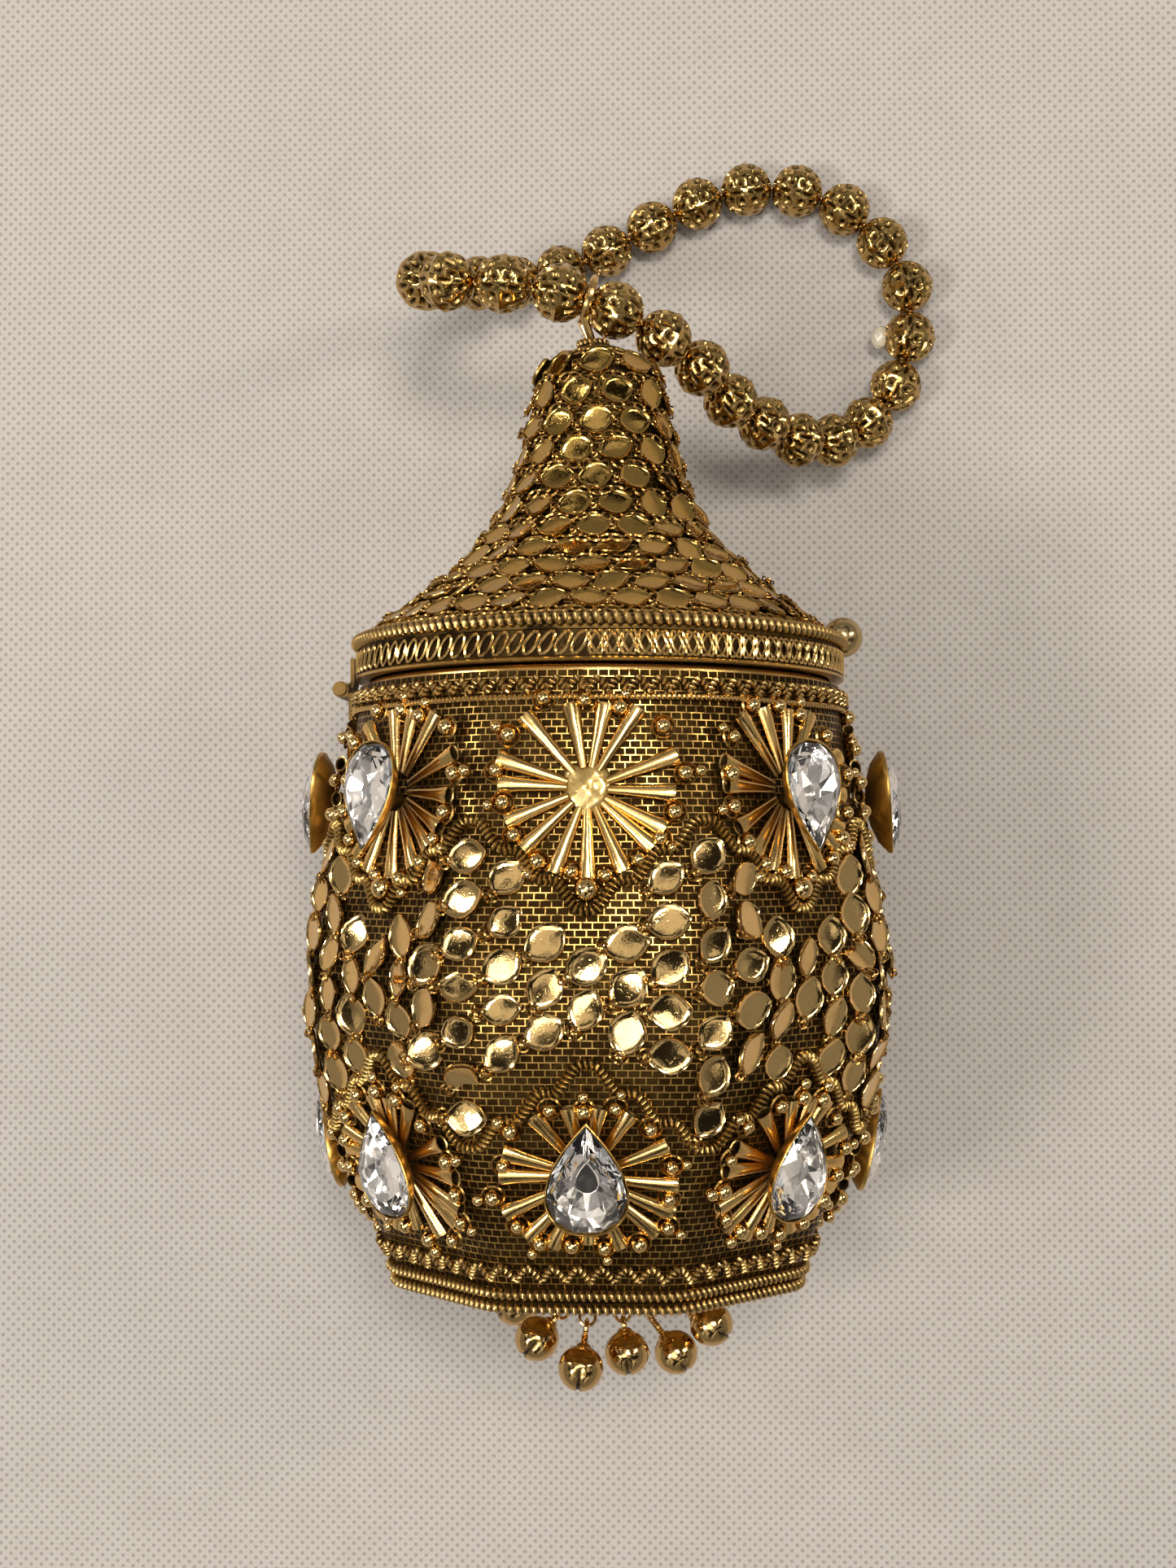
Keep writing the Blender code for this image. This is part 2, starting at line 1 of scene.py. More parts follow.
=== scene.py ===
"""The looks of a minaret-shaped metal evening bag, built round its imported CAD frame.

Shapes are worked out in millimetres in the bag's own frame, as in the CAD: the
mouth at z = 0, the lid towards +z, the front at -y, the clasp at +x.  lay_down()
turns them into the row frame, where the bag lies on its back.
On a skin, "turn" is the angle round the bag from its front towards the clasp, and
a place's own axes are across (towards larger turn), along (lidwards) and outward.
"""

import math
from collections import namedtuple

import bpy
import numpy as np
from mathutils import Matrix, Vector


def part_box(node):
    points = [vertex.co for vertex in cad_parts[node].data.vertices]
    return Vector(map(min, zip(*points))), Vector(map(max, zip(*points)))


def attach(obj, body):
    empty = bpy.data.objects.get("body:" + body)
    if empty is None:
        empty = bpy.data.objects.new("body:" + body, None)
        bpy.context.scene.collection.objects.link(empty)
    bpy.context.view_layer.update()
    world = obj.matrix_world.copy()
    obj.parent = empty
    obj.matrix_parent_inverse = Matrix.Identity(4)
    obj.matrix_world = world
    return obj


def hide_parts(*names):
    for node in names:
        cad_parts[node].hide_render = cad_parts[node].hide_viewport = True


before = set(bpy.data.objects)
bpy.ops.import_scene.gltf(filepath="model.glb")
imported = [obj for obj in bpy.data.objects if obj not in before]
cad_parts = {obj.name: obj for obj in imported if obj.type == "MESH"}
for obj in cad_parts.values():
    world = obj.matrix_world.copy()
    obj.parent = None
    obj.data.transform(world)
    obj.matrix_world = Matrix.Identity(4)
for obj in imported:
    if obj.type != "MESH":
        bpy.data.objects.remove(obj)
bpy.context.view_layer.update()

MM = 0.001
PIN_LOW, PIN_HIGH = (np.array(corner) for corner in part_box("hinge_pin"))
MOUTH_Y, AXIS_HEIGHT = ((PIN_LOW + PIN_HIGH) / 2)[1:]
FACETS = 8
FACET_TURN = math.tau / FACETS
FACE_NAMES = ("front", "front_right", "right", "back_right", "back", "back_left", "left", "front_left")
RNG = np.random.default_rng(8)

# recess: how much painted shade a point gets, most in hollows, grooves and undersides
Shape = namedtuple("Shape", "points faces recess")


def lay_down(points):
    """(x, y, z) in mm goes to (x, z + mouth, axis height - y) in metres."""
    x, y, z = np.moveaxis(np.asarray(points, float), -1, 0)
    return np.stack([x * MM, z * MM + MOUTH_Y, AXIS_HEIGHT - y * MM], -1)


def add_object(name, data):
    made = bpy.data.objects.new(name, data)
    bpy.context.scene.collection.objects.link(made)
    return made


def bag_point(x, height, z):
    """From x, height above the bag's axis and z to the bag's own frame."""
    return np.array([x, -height, z])


LIDWARD = np.array([0.0, 0.0, 1.0])
UP = np.array([0.0, -1.0, 0.0])  # as the bag lies


# ---- camera ------------------------------------------------------------------
CAMERA_SPOT = (16.85, 391.24, -33.25)  # x, height above the axis, z
CAMERA_AIM = (-2.3, 0.0, -18.2)
LENS = 45.77


def make_camera():
    camera = add_object("camera", bpy.data.cameras.new("camera"))
    spot = Vector(lay_down(bag_point(*CAMERA_SPOT)))
    aim = Vector(lay_down(bag_point(*CAMERA_AIM)))
    ahead = (aim - spot).normalized()
    right = ahead.cross(Vector((0.0, 1.0, 0.0))).normalized()
    camera.location = spot
    camera.rotation_euler = Matrix((right, right.cross(ahead), -ahead)).transposed().to_euler()
    camera.data.sensor_width = 36.0
    camera.data.lens = LENS
    bpy.context.scene.camera = camera


# ---- numpy shapes ------------------------------------------------------------
def unit(vectors):
    return vectors / np.linalg.norm(vectors, axis=-1, keepdims=True)


def stacked(*columns):
    """Coordinates, each spread to their common shape, as the last axis of one array."""
    return np.stack(np.broadcast_arrays(*columns), -1)


def round_angles(count, shift=0.0):
    """count even steps of one whole turn, the first of them shift steps on."""
    return (np.arange(count) + shift) * math.tau / count


def about_axis(reach, turn, z):
    """Points at a reach from the bag's axis."""
    return stacked(reach * np.sin(turn), -reach * np.cos(turn), z)


def grid_faces(rows, columns, row_loop, column_loop):
    """Quads between each grid point and its neighbours, looped where asked."""
    i = np.arange(rows if row_loop else rows - 1)[:, None]
    j = np.arange(columns if column_loop else columns - 1)[None, :]
    i_next, j_next = (i + 1) % rows, (j + 1) % columns
    corners = (i * columns + j, i * columns + j_next, i_next * columns + j_next, i_next * columns + j)
    return stacked(*corners).reshape(-1, 4)


def grid_shape(points, row_loop=False, caps=True, recess=0.0):
    """A grid of points as a skin; caps close the first and the last row."""
    rows, columns = points.shape[:2]
    faces = [grid_faces(rows, columns, row_loop, True)]
    if caps and not row_loop:
        faces.append(np.arange(columns)[None, ::-1])
        faces.append((rows - 1) * columns + np.arange(columns)[None])
    marks = np.broadcast_to(recess, (rows, columns)).ravel()
    return Shape(points.reshape(-1, 3), faces, marks)


def facing_out(shape):
    """Flips a closed shape whose signed volume is negative."""
    volume = 0.0
    for faces in shape.faces:
        for k in range(1, faces.shape[1] - 1):
            a, b, c = (shape.points[faces[:, m]] for m in (0, k, k + 1))
            volume += np.einsum("ij,ij->", a, np.cross(b, c))
    if volume < 0:
        return shape._replace(faces=[faces[:, ::-1] for faces in shape.faces])
    return shape


def join(*shapes):
    """Several shapes as one."""
    starts = np.cumsum([0] + [len(shape.points) for shape in shapes])
    faces = [part + start for shape, start in zip(shapes, starts) for part in shape.faces]
    points = np.concatenate([shape.points for shape in shapes])
    return Shape(points, faces, np.concatenate([shape.recess for shape in shapes]))


def copies(shape, origins, axes, sizes=1.0):
    """Each copy's point is its origin plus the shape's x, y and z along its axes."""
    origins = np.atleast_2d(origins)
    axes = np.broadcast_to(axes, (len(origins), 3, 3))
    sizes = np.broadcast_to(sizes, (len(origins), 3))
    scaled = axes * sizes[:, None, :]
    points = np.einsum("kij,nj->kni", scaled, shape.points) + origins[:, None]
    starts = (np.arange(len(origins)) * len(shape.points))[:, None, None]
    faces = [(part[None] + starts).reshape(-1, part.shape[1]) for part in shape.faces]
    return Shape(points.reshape(-1, 3), faces, np.tile(shape.recess, len(origins)))


def tube(path, outward, radius, sides=8, loop=False, recess=0.0):
    """A circle carried along a path: centre + r (cos a outward + sin a sideways)."""
    path = np.asarray(path, float)
    if loop:
        along = np.roll(path, -1, 0) - np.roll(path, 1, 0)
    else:
        along = np.gradient(path, axis=0)
    along = unit(along)
    outward = np.broadcast_to(outward, path.shape)
    normal = unit(outward - along * np.sum(outward * along, -1, keepdims=True))
    sideways = np.cross(along, normal)
    angle = round_angles(sides)[None, :, None]
    reach = np.broadcast_to(np.asarray(radius, float).T, (sides, len(path))).T[..., None]
    ring = np.cos(angle) * normal[:, None] + np.sin(angle) * sideways[:, None]
    return grid_shape(path[:, None] + reach * ring, row_loop=loop, caps=not loop, recess=recess)


def turned(section, count=128, row_loop=True):
    """A section turned about the bag's axis; its rows are radius, z and recess."""
    radius, z, recess = np.array(section, float).T[:, :, None]
    points = about_axis(radius, round_angles(count)[None], z)
    return facing_out(grid_shape(points, row_loop=row_loop, recess=recess))


def evenly(columns, count, loop=False):
    """count places at even steps along the first three columns; any others go with them."""
    if loop:
        columns = np.concatenate([columns, columns[:1]])
    steps = np.linalg.norm(np.diff(columns[:, :3], axis=0), axis=1)
    travelled = np.concatenate([[0], np.cumsum(steps)])
    wanted = np.linspace(0, travelled[-1], count, endpoint=not loop)
    return np.stack([np.interp(wanted, travelled, column) for column in columns.T], -1)


def path_length(path, loop=False):
    closed = np.concatenate([path, path[:1]]) if loop else path
    return float(np.linalg.norm(np.diff(closed, axis=0), axis=1).sum())


COIL_PITCH = 0.95
COIL_ROWS = 5  # rings of the tube to a turn of the wire
COIL_SIDES = 8


def wound_path(path, outward, pitch, rows):
    """A closed path cut into whole turns of wire: its places, outward ways and phases."""
    both = np.concatenate([path, np.broadcast_to(outward, path.shape)], axis=1)
    turns = round(path_length(path, loop=True) / pitch)
    fine = evenly(both, turns * rows, loop=True)
    return fine[:, :3], fine[:, 3:], np.arange(len(fine)) * math.tau / rows


def coil(path, outward, radius, pitch=COIL_PITCH):
    """Wire wound on a closed path: the tube's radius swells by cos(phase - angle), and its grooves get
    painted shade.
    """
    middle, normal, phase = wound_path(path, outward, pitch, COIL_ROWS)
    wave = np.cos(phase[:, None] - round_angles(COIL_SIDES)[None])
    swell = radius * (0.79 + 0.21 * wave)
    return tube(middle, normal, swell, COIL_SIDES, loop=True, recess=0.5 - 0.5 * wave)


def rope(path, outward, radius, strand, pitch):
    """Two wires that wind round a closed path half a turn apart."""
    middle, normal, phase = wound_path(path, outward, pitch, 8)
    normal = unit(normal)
    along = unit(np.roll(middle, -1, 0) - np.roll(middle, 1, 0))
    sideways = np.cross(along, normal)
    wires = []
    for start in (0.0, math.pi):
        angle = (phase + start)[:, None]
        offset = np.cos(angle) * normal + np.sin(angle) * sideways
        wires.append(tube(middle + offset * radius * 0.6, normal, strand, 6, loop=True, recess=0.1))
    return join(*wires)


def globe(radius, columns, rows):
    """radius (sin v cos u, sin v sin u, cos v), with tiny rings at the poles."""
    v = np.linspace(0.14, math.pi - 0.14, rows)[::-1, None]
    u = round_angles(columns)[None]
    return grid_shape(stacked(np.sin(v) * np.cos(u), np.sin(v) * np.sin(u), np.cos(v)) * radius)


def wire_ring(radius, wire, around, about, stretch=1.0):
    """A wire ellipse in x and y."""
    a = round_angles(around)
    path = stacked(radius * np.cos(a), radius * stretch * np.sin(a), 0.0)
    return tube(path, np.array([0.0, 0.0, 1.0]), wire, about, loop=True)


# ---- skins of the body and the lid -------------------------------------------
def smooth_between(x, knots, values):
    """Cubic Hermite curve through the knots, with central slopes."""
    knots, values = np.asarray(knots, float), np.asarray(values, float)
    slopes = np.gradient(values, knots)
    x = np.clip(x, knots[0], knots[-1])
    i = np.clip(np.searchsorted(knots, x, side="right") - 1, 0, len(knots) - 2)
    width = knots[i + 1] - knots[i]
    t = (x - knots[i]) / width
    rise = values[i] * (1 + 2 * t) * (1 - t) ** 2 + values[i + 1] * t * t * (3 - 2 * t)
    lean = slopes[i] * t * (1 - t) ** 2 - slopes[i + 1] * t * t * (1 - t)
    return rise + width * lean


BODY_Z = (-112.6, -100.0, -88.0, -76.0, -64.0, -52.0, -38.0, -24.0, -12.0, 0.0)
BODY_INRADIUS = (36.9, 42.2, 46.9, 50.7, 53.1, 53.2, 51.4, 48.7, 47.3, 46.7)
BODY_SQUARENESS = (30.0, 30.0, 30.0, 30.0, 30.0, 30.0, 30.0, 20.0, 12.0, 8.0)
BODY_BASE = BODY_Z[0]
LID_PROFILE = (
    (45.1, 9.7),
    (40.7, 12.9),
    (34.3, 17.7),
    (27.0, 24.1),
    (21.4, 30.5),
    (18.2, 36.9),
    (15.1, 44.9),
    (13.3, 53.0),
    (11.8, 60.6),
    (9.9, 64.2),
    (7.0, 66.6),
    (3.6, 68.1),
    (0.4, 68.6),
)
WALL = 0.9


def octagon_sum(turn, squareness):
    flats = np.arange(4) * math.pi / 4
    return np.sum(np.abs(np.cos(turn[..., None] - flats)) ** squareness[..., None], -1)


def body_skin(turn, z, lift=0.0):
    """A soft octagon: inradius times (S(0) / S(turn)) to the power 1 / squareness."""
    turn, z, lift = np.broadcast_arrays(*(np.asarray(v, float) for v in (turn, z, lift)))
    squareness = np.interp(z, BODY_Z, BODY_SQUARENESS)
    flat = octagon_sum(0 * turn, squareness)
    reach = (flat / octagon_sum(turn, squareness)) ** (1 / squareness)
    return about_axis(reach * smooth_between(z, BODY_Z, BODY_INRADIUS) + lift, turn, z)


LID_KNOTS = np.array(LID_PROFILE)
LID_TRAVEL = np.concatenate([[0], np.cumsum(np.linalg.norm(np.diff(LID_KNOTS, axis=0), axis=1))])
LID_TOP = float(LID_TRAVEL[-1])


def lid_skin(turn, travel, lift=0.0):
    """The lid's profile turned round the axis; travel is measured up from the rim."""
    turn, travel, lift = np.broadcast_arrays(*(np.asarray(v, float) for v in (turn, travel, lift)))
    step = 0.5
    here, ahead = (
        [smooth_between(spot, LID_TRAVEL, column) for column in LID_KNOTS.T]
        for spot in (travel, travel + step)
    )
    d_radius, d_z = ahead[0] - here[0], ahead[1] - here[1]
    length = np.hypot(d_radius, d_z) + 1e-9
    radius = here[0] + lift * d_z / length
    return about_axis(radius, turn, here[1] - lift * d_radius / length)


TURN_STEP = 0.004  # half the step that a skin's slope is taken over, in radians
SPOT_STEP = 0.05  # and along it, in mm


def frames_on(skin, turn, spot, lift=0.0):
    """Origins and (across, along, outward) axes of places on a skin."""
    turn, spot = np.broadcast_arrays(np.asarray(turn, float), np.asarray(spot, float))
    across = skin(turn + TURN_STEP, spot) - skin(turn - TURN_STEP, spot)
    along = unit(skin(turn, spot + SPOT_STEP) - skin(turn, spot - SPOT_STEP))
    outward = unit(np.cross(across, along))
    across = np.cross(along, outward)
    lifted = skin(turn, spot) + outward * np.asarray(lift, float)[..., None]
    return lifted, np.stack([across, along, outward], -1)


def swung(axes, clockwise):
    """Axes turned about their outward one, so that y points clockwise of along."""
    clockwise = np.asarray(clockwise, float)[..., None]
    across, along, outward = (axes[..., k] for k in range(3))
    side = np.cos(clockwise) * across - np.sin(clockwise) * along
    ahead = np.sin(clockwise) * across + np.cos(clockwise) * along
    return np.stack([side, ahead, outward + 0 * side], -1)


def rocked(axes, spread):
    """Axes tipped a little at random, as hand-set pieces are."""
    tip = RNG.normal(0, spread, axes.shape[:-2] + (2, 1))
    outward = unit(axes[..., 2] + tip[..., 0, :] * axes[..., 0] + tip[..., 1, :] * axes[..., 1])
    ahead = unit(axes[..., 1] - outward * np.sum(outward * axes[..., 1], -1, keepdims=True))
    return np.stack([np.cross(ahead, outward), ahead, outward], -1)


# ---- materials ---------------------------------------------------------------
class Nodes:
    """Short words for adding shader nodes to a tree."""

    def __init__(self, tree):
        self.tree = tree

    def add(self, kind, **settings):
        node = self.tree.nodes.new(kind)
        for name, value in settings.items():
            setattr(node, name, value)
        return node

    def put(self, socket, value):
        """Link another socket to this one, or set its plain value."""
        if isinstance(value, bpy.types.NodeSocket):
            self.tree.links.new(value, socket)
        else:
            socket.default_value = value

    def maths(self, operation, first, second=0.0, third=0.0, clamp=False):
        node = self.add("ShaderNodeMath", operation=operation, use_clamp=clamp)
        for socket, value in zip(node.inputs, (first, second, third)):
            self.put(socket, value)
        return node.outputs[0]

    def mix(self, share, first, second):
        node = self.add("ShaderNodeMix", data_type="RGBA")
        self.put(node.inputs["Factor"], share)
        self.put(node.inputs["A"], first)
        self.put(node.inputs["B"], second)
        return node.outputs["Result"]

    def noise(self, vector, scale, detail=3.0):
        node = self.add("ShaderNodeTexNoise")
        self.put(node.inputs["Vector"], vector)
        self.put(node.inputs["Scale"], scale)
        self.put(node.inputs["Detail"], detail)
        return node.outputs["Fac"]

    def ramp(self, value, low, high):
        """0 below low, 1 above high, smooth between."""
        node = self.add("ShaderNodeMapRange", interpolation_type="SMOOTHSTEP")
        self.put(node.inputs["Value"], value)
        self.put(node.inputs["From Min"], low)
        self.put(node.inputs["From Max"], high)
        return node.outputs["Result"]

    def split(self, vector):
        node = self.add("ShaderNodeSeparateXYZ")
        self.put(node.inputs[0], vector)
        return node.outputs

    def coordinates(self):
        return self.add("ShaderNodeTexCoord").outputs["Object"]


def socket(tree, name, kind, side, value=None):
    made = tree.interface.new_socket(name=name, in_out=side, socket_type=kind)
    if value is not None:
        made.default_value = value
    return made


def grime_and_shade_group():
    """Painted shade in the recesses, grime in drifting patches and specks, polish on the high spots."""
    tree = bpy.data.node_groups.new("grime and painted shade", "ShaderNodeTree")
    socket(tree, "Bright", "NodeSocketColor", "INPUT", (0.7, 0.5, 0.2, 1.0))
    socket(tree, "Dark", "NodeSocketColor", "INPUT", (0.15, 0.09, 0.03, 1.0))
    socket(tree, "Depth", "NodeSocketFloat", "INPUT", 0.0)
    socket(tree, "Grime", "NodeSocketFloat", "INPUT", 0.3)
    socket(tree, "Polish", "NodeSocketFloat", "INPUT", 0.22)
    socket(tree, "Color", "NodeSocketColor", "OUTPUT")
    socket(tree, "Roughness", "NodeSocketFloat", "OUTPUT")
    socket(tree, "Height", "NodeSocketFloat", "OUTPUT")
    n = Nodes(tree)
    given = n.add("NodeGroupInput").outputs
    spot = n.coordinates()
    # painted shade: the recess mark and the Depth input darken hollows and undersides
    recess = n.add("ShaderNodeAttribute", attribute_name="recess").outputs["Fac"]
    drift = n.noise(spot, 140.0, 4.0)
    speck = n.noise(spot, 1400.0, 2.0)
    patches = n.maths("MULTIPLY", n.ramp(drift, 0.45, 0.75), given["Grime"])
    specks = n.maths("MULTIPLY", n.ramp(speck, 0.58, 0.72), given["Grime"])
    recess_shade = n.maths("MAXIMUM", recess, given["Depth"])
    # Dark mixes in by the painted shade plus the grime patches and specks
    shade_and_grime_mask = n.maths("ADD", n.maths("ADD", recess_shade, patches), specks, clamp=True)
    out = n.add("NodeGroupOutput").inputs
    n.put(out["Color"], n.mix(shade_and_grime_mask, given["Bright"], given["Dark"]))
    n.put(out["Roughness"], n.maths("MULTIPLY_ADD", shade_and_grime_mask, 0.35, given["Polish"]))
    n.put(out["Height"], n.maths("SUBTRACT", n.maths("MULTIPLY", speck, 0.3), shade_and_grime_mask))
    return tree


def around_group():
    """Object coordinates unrolled round the bag's axis: turn in turns, z in metres."""
    tree = bpy.data.node_groups.new("round the bag", "ShaderNodeTree")
    socket(tree, "Turn", "NodeSocketFloat", "OUTPUT")
    socket(tree, "Along", "NodeSocketFloat", "OUTPUT")
    n = Nodes(tree)
    spot = n.split(n.coordinates())
    turn = n.maths("ARCTAN2", spot["X"], n.maths("SUBTRACT", spot["Z"], float(AXIS_HEIGHT)))
    out = n.add("NodeGroupOutput").inputs
    n.put(out["Turn"], n.maths("DIVIDE", turn, math.tau))
    n.put(out["Along"], n.maths("SUBTRACT", spot["Y"], float(MOUTH_Y)))
    return tree


def new_material(name):
    made = bpy.data.materials.new(name)
    made.use_nodes = True
    return made, Nodes(made.node_tree), made.node_tree.nodes["Principled BSDF"].inputs


def place_group(n, tree, **values):
    node = n.add("ShaderNodeGroup", node_tree=tree)
    for name, value in values.items():
        n.put(node.inputs[name], value)
    return node.outputs


def cover(n, shader, colour, roughness, height, distance, strength=0.6):
    """A shader's colour and roughness, and a height as its bump."""
    n.put(shader["Base Color"], colour)
    n.put(shader["Roughness"], roughness)
    bump = n.add("ShaderNodeBump")
    n.put(bump.inputs["Strength"], strength)
    n.put(bump.inputs["Distance"], distance)
    n.put(bump.inputs["Height"], height)
    n.put(shader["Normal"], bump.outputs["Normal"])


GOLD = (0.62, 0.37, 0.10, 1.0)
PALE_GOLD = (0.76, 0.485, 0.17, 1.0)
WIRE_GOLD = (0.60, 0.365, 0.105, 1.0)
BROWN = (0.022, 0.011, 0.003, 1.0)
BRICK_LENGTH = 1.55  # over its row height


# metal with painted shade in its recesses and grime in drifting patches
def grimy_shaded_metal(name, bright, dark, grime, polish):
    made, n, shader = new_material(name)
    out = place_group(n, GRIME_AND_SHADE, Bright=bright, Dark=dark, Grime=grime, Polish=polish)
    cover(n, shader, out["Color"], out["Roughness"], out["Height"], 0.00012)
    n.put(shader["Metallic"], 1.0)
    return made


def mesh_ground(name, columns, row_height):
    """Bright raised wires laid in a brick pattern round the bag, over cells painted dark as shade."""
    made, n, shader = new_material(name)
    place = place_group(n, AROUND)
    cell = n.add("ShaderNodeCombineXYZ")
    n.put(cell.inputs["X"], n.maths("MULTIPLY", place["Turn"], BRICK_LENGTH * columns))
    n.put(cell.inputs["Y"], n.maths("DIVIDE", place["Along"], row_height))
    brick = n.add("ShaderNodeTexBrick", offset=0.5)
    n.put(brick.inputs["Vector"], cell.outputs[0])
    n.put(brick.inputs["Scale"], 1.0)
    n.put(brick.inputs["Mortar Size"], 0.12)
    n.put(brick.inputs["Mortar Smooth"], 0.35)
    n.put(brick.inputs["Brick Width"], BRICK_LENGTH)
    n.put(brick.inputs["Row Height"], 1.0)
    wire = brick.outputs["Fac"]
    worn = n.ramp(n.noise(n.coordinates(), 330.0, 3.0), 0.38, 0.62)
    bright = n.maths("MULTIPLY", wire, n.maths("MULTIPLY_ADD", worn, 0.7, 0.3))
    # painted shade: the cells between the wires get Depth 0.97; on the wires it falls with wear
    depth = n.maths("SUBTRACT", 0.97, n.maths("MULTIPLY", bright, 0.97))
    out = place_group(n, GRIME_AND_SHADE, Bright=WIRE_GOLD, Dark=BROWN, Grime=0.2, Polish=0.24, Depth=depth)
    cover(n, shader, out["Color"], out["Roughness"], wire, 0.0006, 0.9)
    n.put(shader["Metallic"], 1.0)
    return made


def crystal_glass():
    made, n, shader = new_material("cut crystal")
    scratch = n.noise(n.coordinates(), 900.0, 2.0)
    cover(n, shader, (1.0, 0.975, 0.945, 1.0), 0.02, scratch, 0.00002, 0.2)
    n.put(shader["IOR"], 1.5)
    n.put(shader["Transmission Weight"], 1.0)
    return made


def foil():
    """The silvered back of a crystal, spotted where the silver has aged."""
    made, n, shader = new_material("silvered back")
    spots = n.ramp(n.noise(n.coordinates(), 700.0, 3.0), 0.55, 0.75)
    n.put(shader["Base Color"], n.mix(spots, (1.0, 0.98, 0.96, 1.0), (0.88, 0.84, 0.80, 1.0)))
    n.put(shader["Roughness"], n.maths("MULTIPLY_ADD", spots, 0.1, 0.12))
    n.put(shader["Metallic"], 1.0)
    return made


def satin():
    """Satin lining: fine warp lines and slow folds of tone."""
    made, n, shader = new_material("satin lining")
    place = place_group(n, AROUND)
    thread = n.maths("SINE", n.maths("MULTIPLY", place["Turn"], 6000.0))
    slow = n.noise(n.coordinates(), 60.0, 2.0)
    colour = n.mix(slow, (0.36, 0.25, 0.12, 1.0), (0.58, 0.45, 0.27, 1.0))
    cover(n, shader, colour, n.maths("MULTIPLY_ADD", slow, 0.2, 0.35), thread, 0.00008, 0.4)
    n.put(shader["Sheen Weight"], 0.3)
    return made


def dried_glue(name, tint, pale, clear, gilt=0.0):
    """Amber glue, cloudy with air and gold dust."""
    made, n, shader = new_material(name)
    cloud = n.noise(n.coordinates(), 500.0, 4.0)
    roughness = n.maths("MULTIPLY_ADD", cloud, 0.25, 0.15)
    cover(n, shader, n.mix(cloud, tint, pale), roughness, cloud, 0.0004, 0.5)
    n.put(shader["Metallic"], gilt)
    n.put(shader["Transmission Weight"], clear)
    n.put(shader["Coat Weight"], 0.8)
    return made


CLOTH_WAVES = 2700.0  # radians of the weave to a metre


def cloth():
    """Pale cloth with a small dark pit in each crossing of its threads."""
    made, n, shader = new_material("pale cloth")
    spot = n.split(n.coordinates())
    warp, weft = (n.maths("SINE", n.maths("MULTIPLY", spot[way], CLOTH_WAVES)) for way in "XY")
    slub = n.noise(n.coordinates(), 120.0, 4.0)
    pits = n.ramp(n.maths("MULTIPLY", warp, weft), 0.35, 0.85)
    ground = n.mix(slub, (0.38, 0.345, 0.31, 1.0), (0.425, 0.39, 0.355, 1.0))
    colour = n.mix(n.maths("MULTIPLY", pits, 0.62), ground, (0.21, 0.18, 0.155, 1.0))
    weave = n.maths("SUBTRACT", n.maths("MULTIPLY", slub, 0.6), pits)
    cover(n, shader, colour, 0.95, weave, 0.0004, 0.5)
    return made


# ---- putting a piece into the scene ------------------------------------------
def make_piece(
    name, shape, material, stands_for=None, body="body", crease=40.0
):
    """A shape as a mesh object that rides on a CAD body."""
    mesh = bpy.data.meshes.new(name)
    points = lay_down(shape.points)
    loops = np.concatenate([part.ravel() for part in shape.faces]).astype(np.int32)
    counts = np.concatenate([np.full(len(part), part.shape[1]) for part in shape.faces])
    mesh.vertices.add(len(points))
    mesh.vertices.foreach_set("co", points.ravel())
    mesh.loops.add(len(loops))
    mesh.loops.foreach_set("vertex_index", loops)
    mesh.polygons.add(len(counts))
    mesh.polygons.foreach_set("loop_start", np.concatenate([[0], np.cumsum(counts)[:-1]]))
    mesh.update(calc_edges=True)
    mesh.validate()
    marks = mesh.attributes.new("recess", "FLOAT", "POINT")
    marks.data.foreach_set("value", np.ascontiguousarray(shape.recess, dtype=float))
    mesh.shade_smooth()
    mesh.set_sharp_from_angle(angle=math.radians(crease))
    piece = add_object(name, mesh)
    mesh.materials.append(material)
    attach(piece, body)
    if stands_for:
        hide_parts(stands_for)
    return piece


# ---- the bead loop -----------------------------------------------------------
BEAD_COUNT = 27
BEAD_RADIUS = 5.75
STRAND_WIRE = 0.6
BAIL_AT = -0.5 / BEAD_COUNT  # share of the strand, between two beads
WIRE_END_GAP = 0.004
KNOT_AT = 8.95 / BEAD_COUNT
# the strand's middle line, once round, as x, height above the axis, z
STRAND_ROUTE = (
    (3.2, 1.5, 75.3),
    (12.6, -3.0, 70.8),
    (20.1, -10.0, 66.7),
    (26.2, -18.8, 61.9),
    (33.4, -27.0, 58.9),
    (41.0, -35.2, 57.0),
    (49.2, -43.2, 58.4),
    (57.4, -49.6, 63.8),
    (63.9, -52.3, 72.6),
    (66.9, -52.4, 83.5),
    (66.4, -52.4, 95.0),
    (60.8, -52.4, 105.0),
    (51.8, -52.4, 112.9),
    (40.2, -52.4, 117.2),
    (28.0, -52.4, 116.9),
    (16.8, -52.4, 113.0),
    (6.6, -52.4, 107.6),
    (-3.6, -52.2, 102.4),
    (-13.6, -50.2, 97.9),
    (-22.6, -44.8, 94.6),
    (-29.6, -36.4, 92.4),
    (-34.0, -26.2, 90.0),
    (-36.0, -15.4, 86.8),
    (-35.2, -4.8, 83.6),
    (-30.0, 2.4, 81.3),
    (-20.6, 4.0, 80.4),
    (-9.2, 3.2, 78.9),
)


def closed_curve(points, count):
    """The closed Catmull-Rom curve through the points, count samples to a span."""
    p0, p1, p2, p3 = (np.roll(points, 1 - k, axis=0)[:, None] for k in range(4))
    t = (np.arange(count) / count)[None, :, None]
    curve = 2 * p1 + (p2 - p0) * t + (2 * p0 - 5 * p1 + 4 * p2 - p3) * t**2
    curve = curve + (3 * p1 - p0 - 3 * p2 + p3) * t**3
    return (curve / 2).reshape(-1, 3)


STRAND_KNOTS = np.array([bag_point(*point) for point in STRAND_ROUTE])
STRAND_FINE = evenly(closed_curve(STRAND_KNOTS, 24), BEAD_COUNT * 40, loop=True)


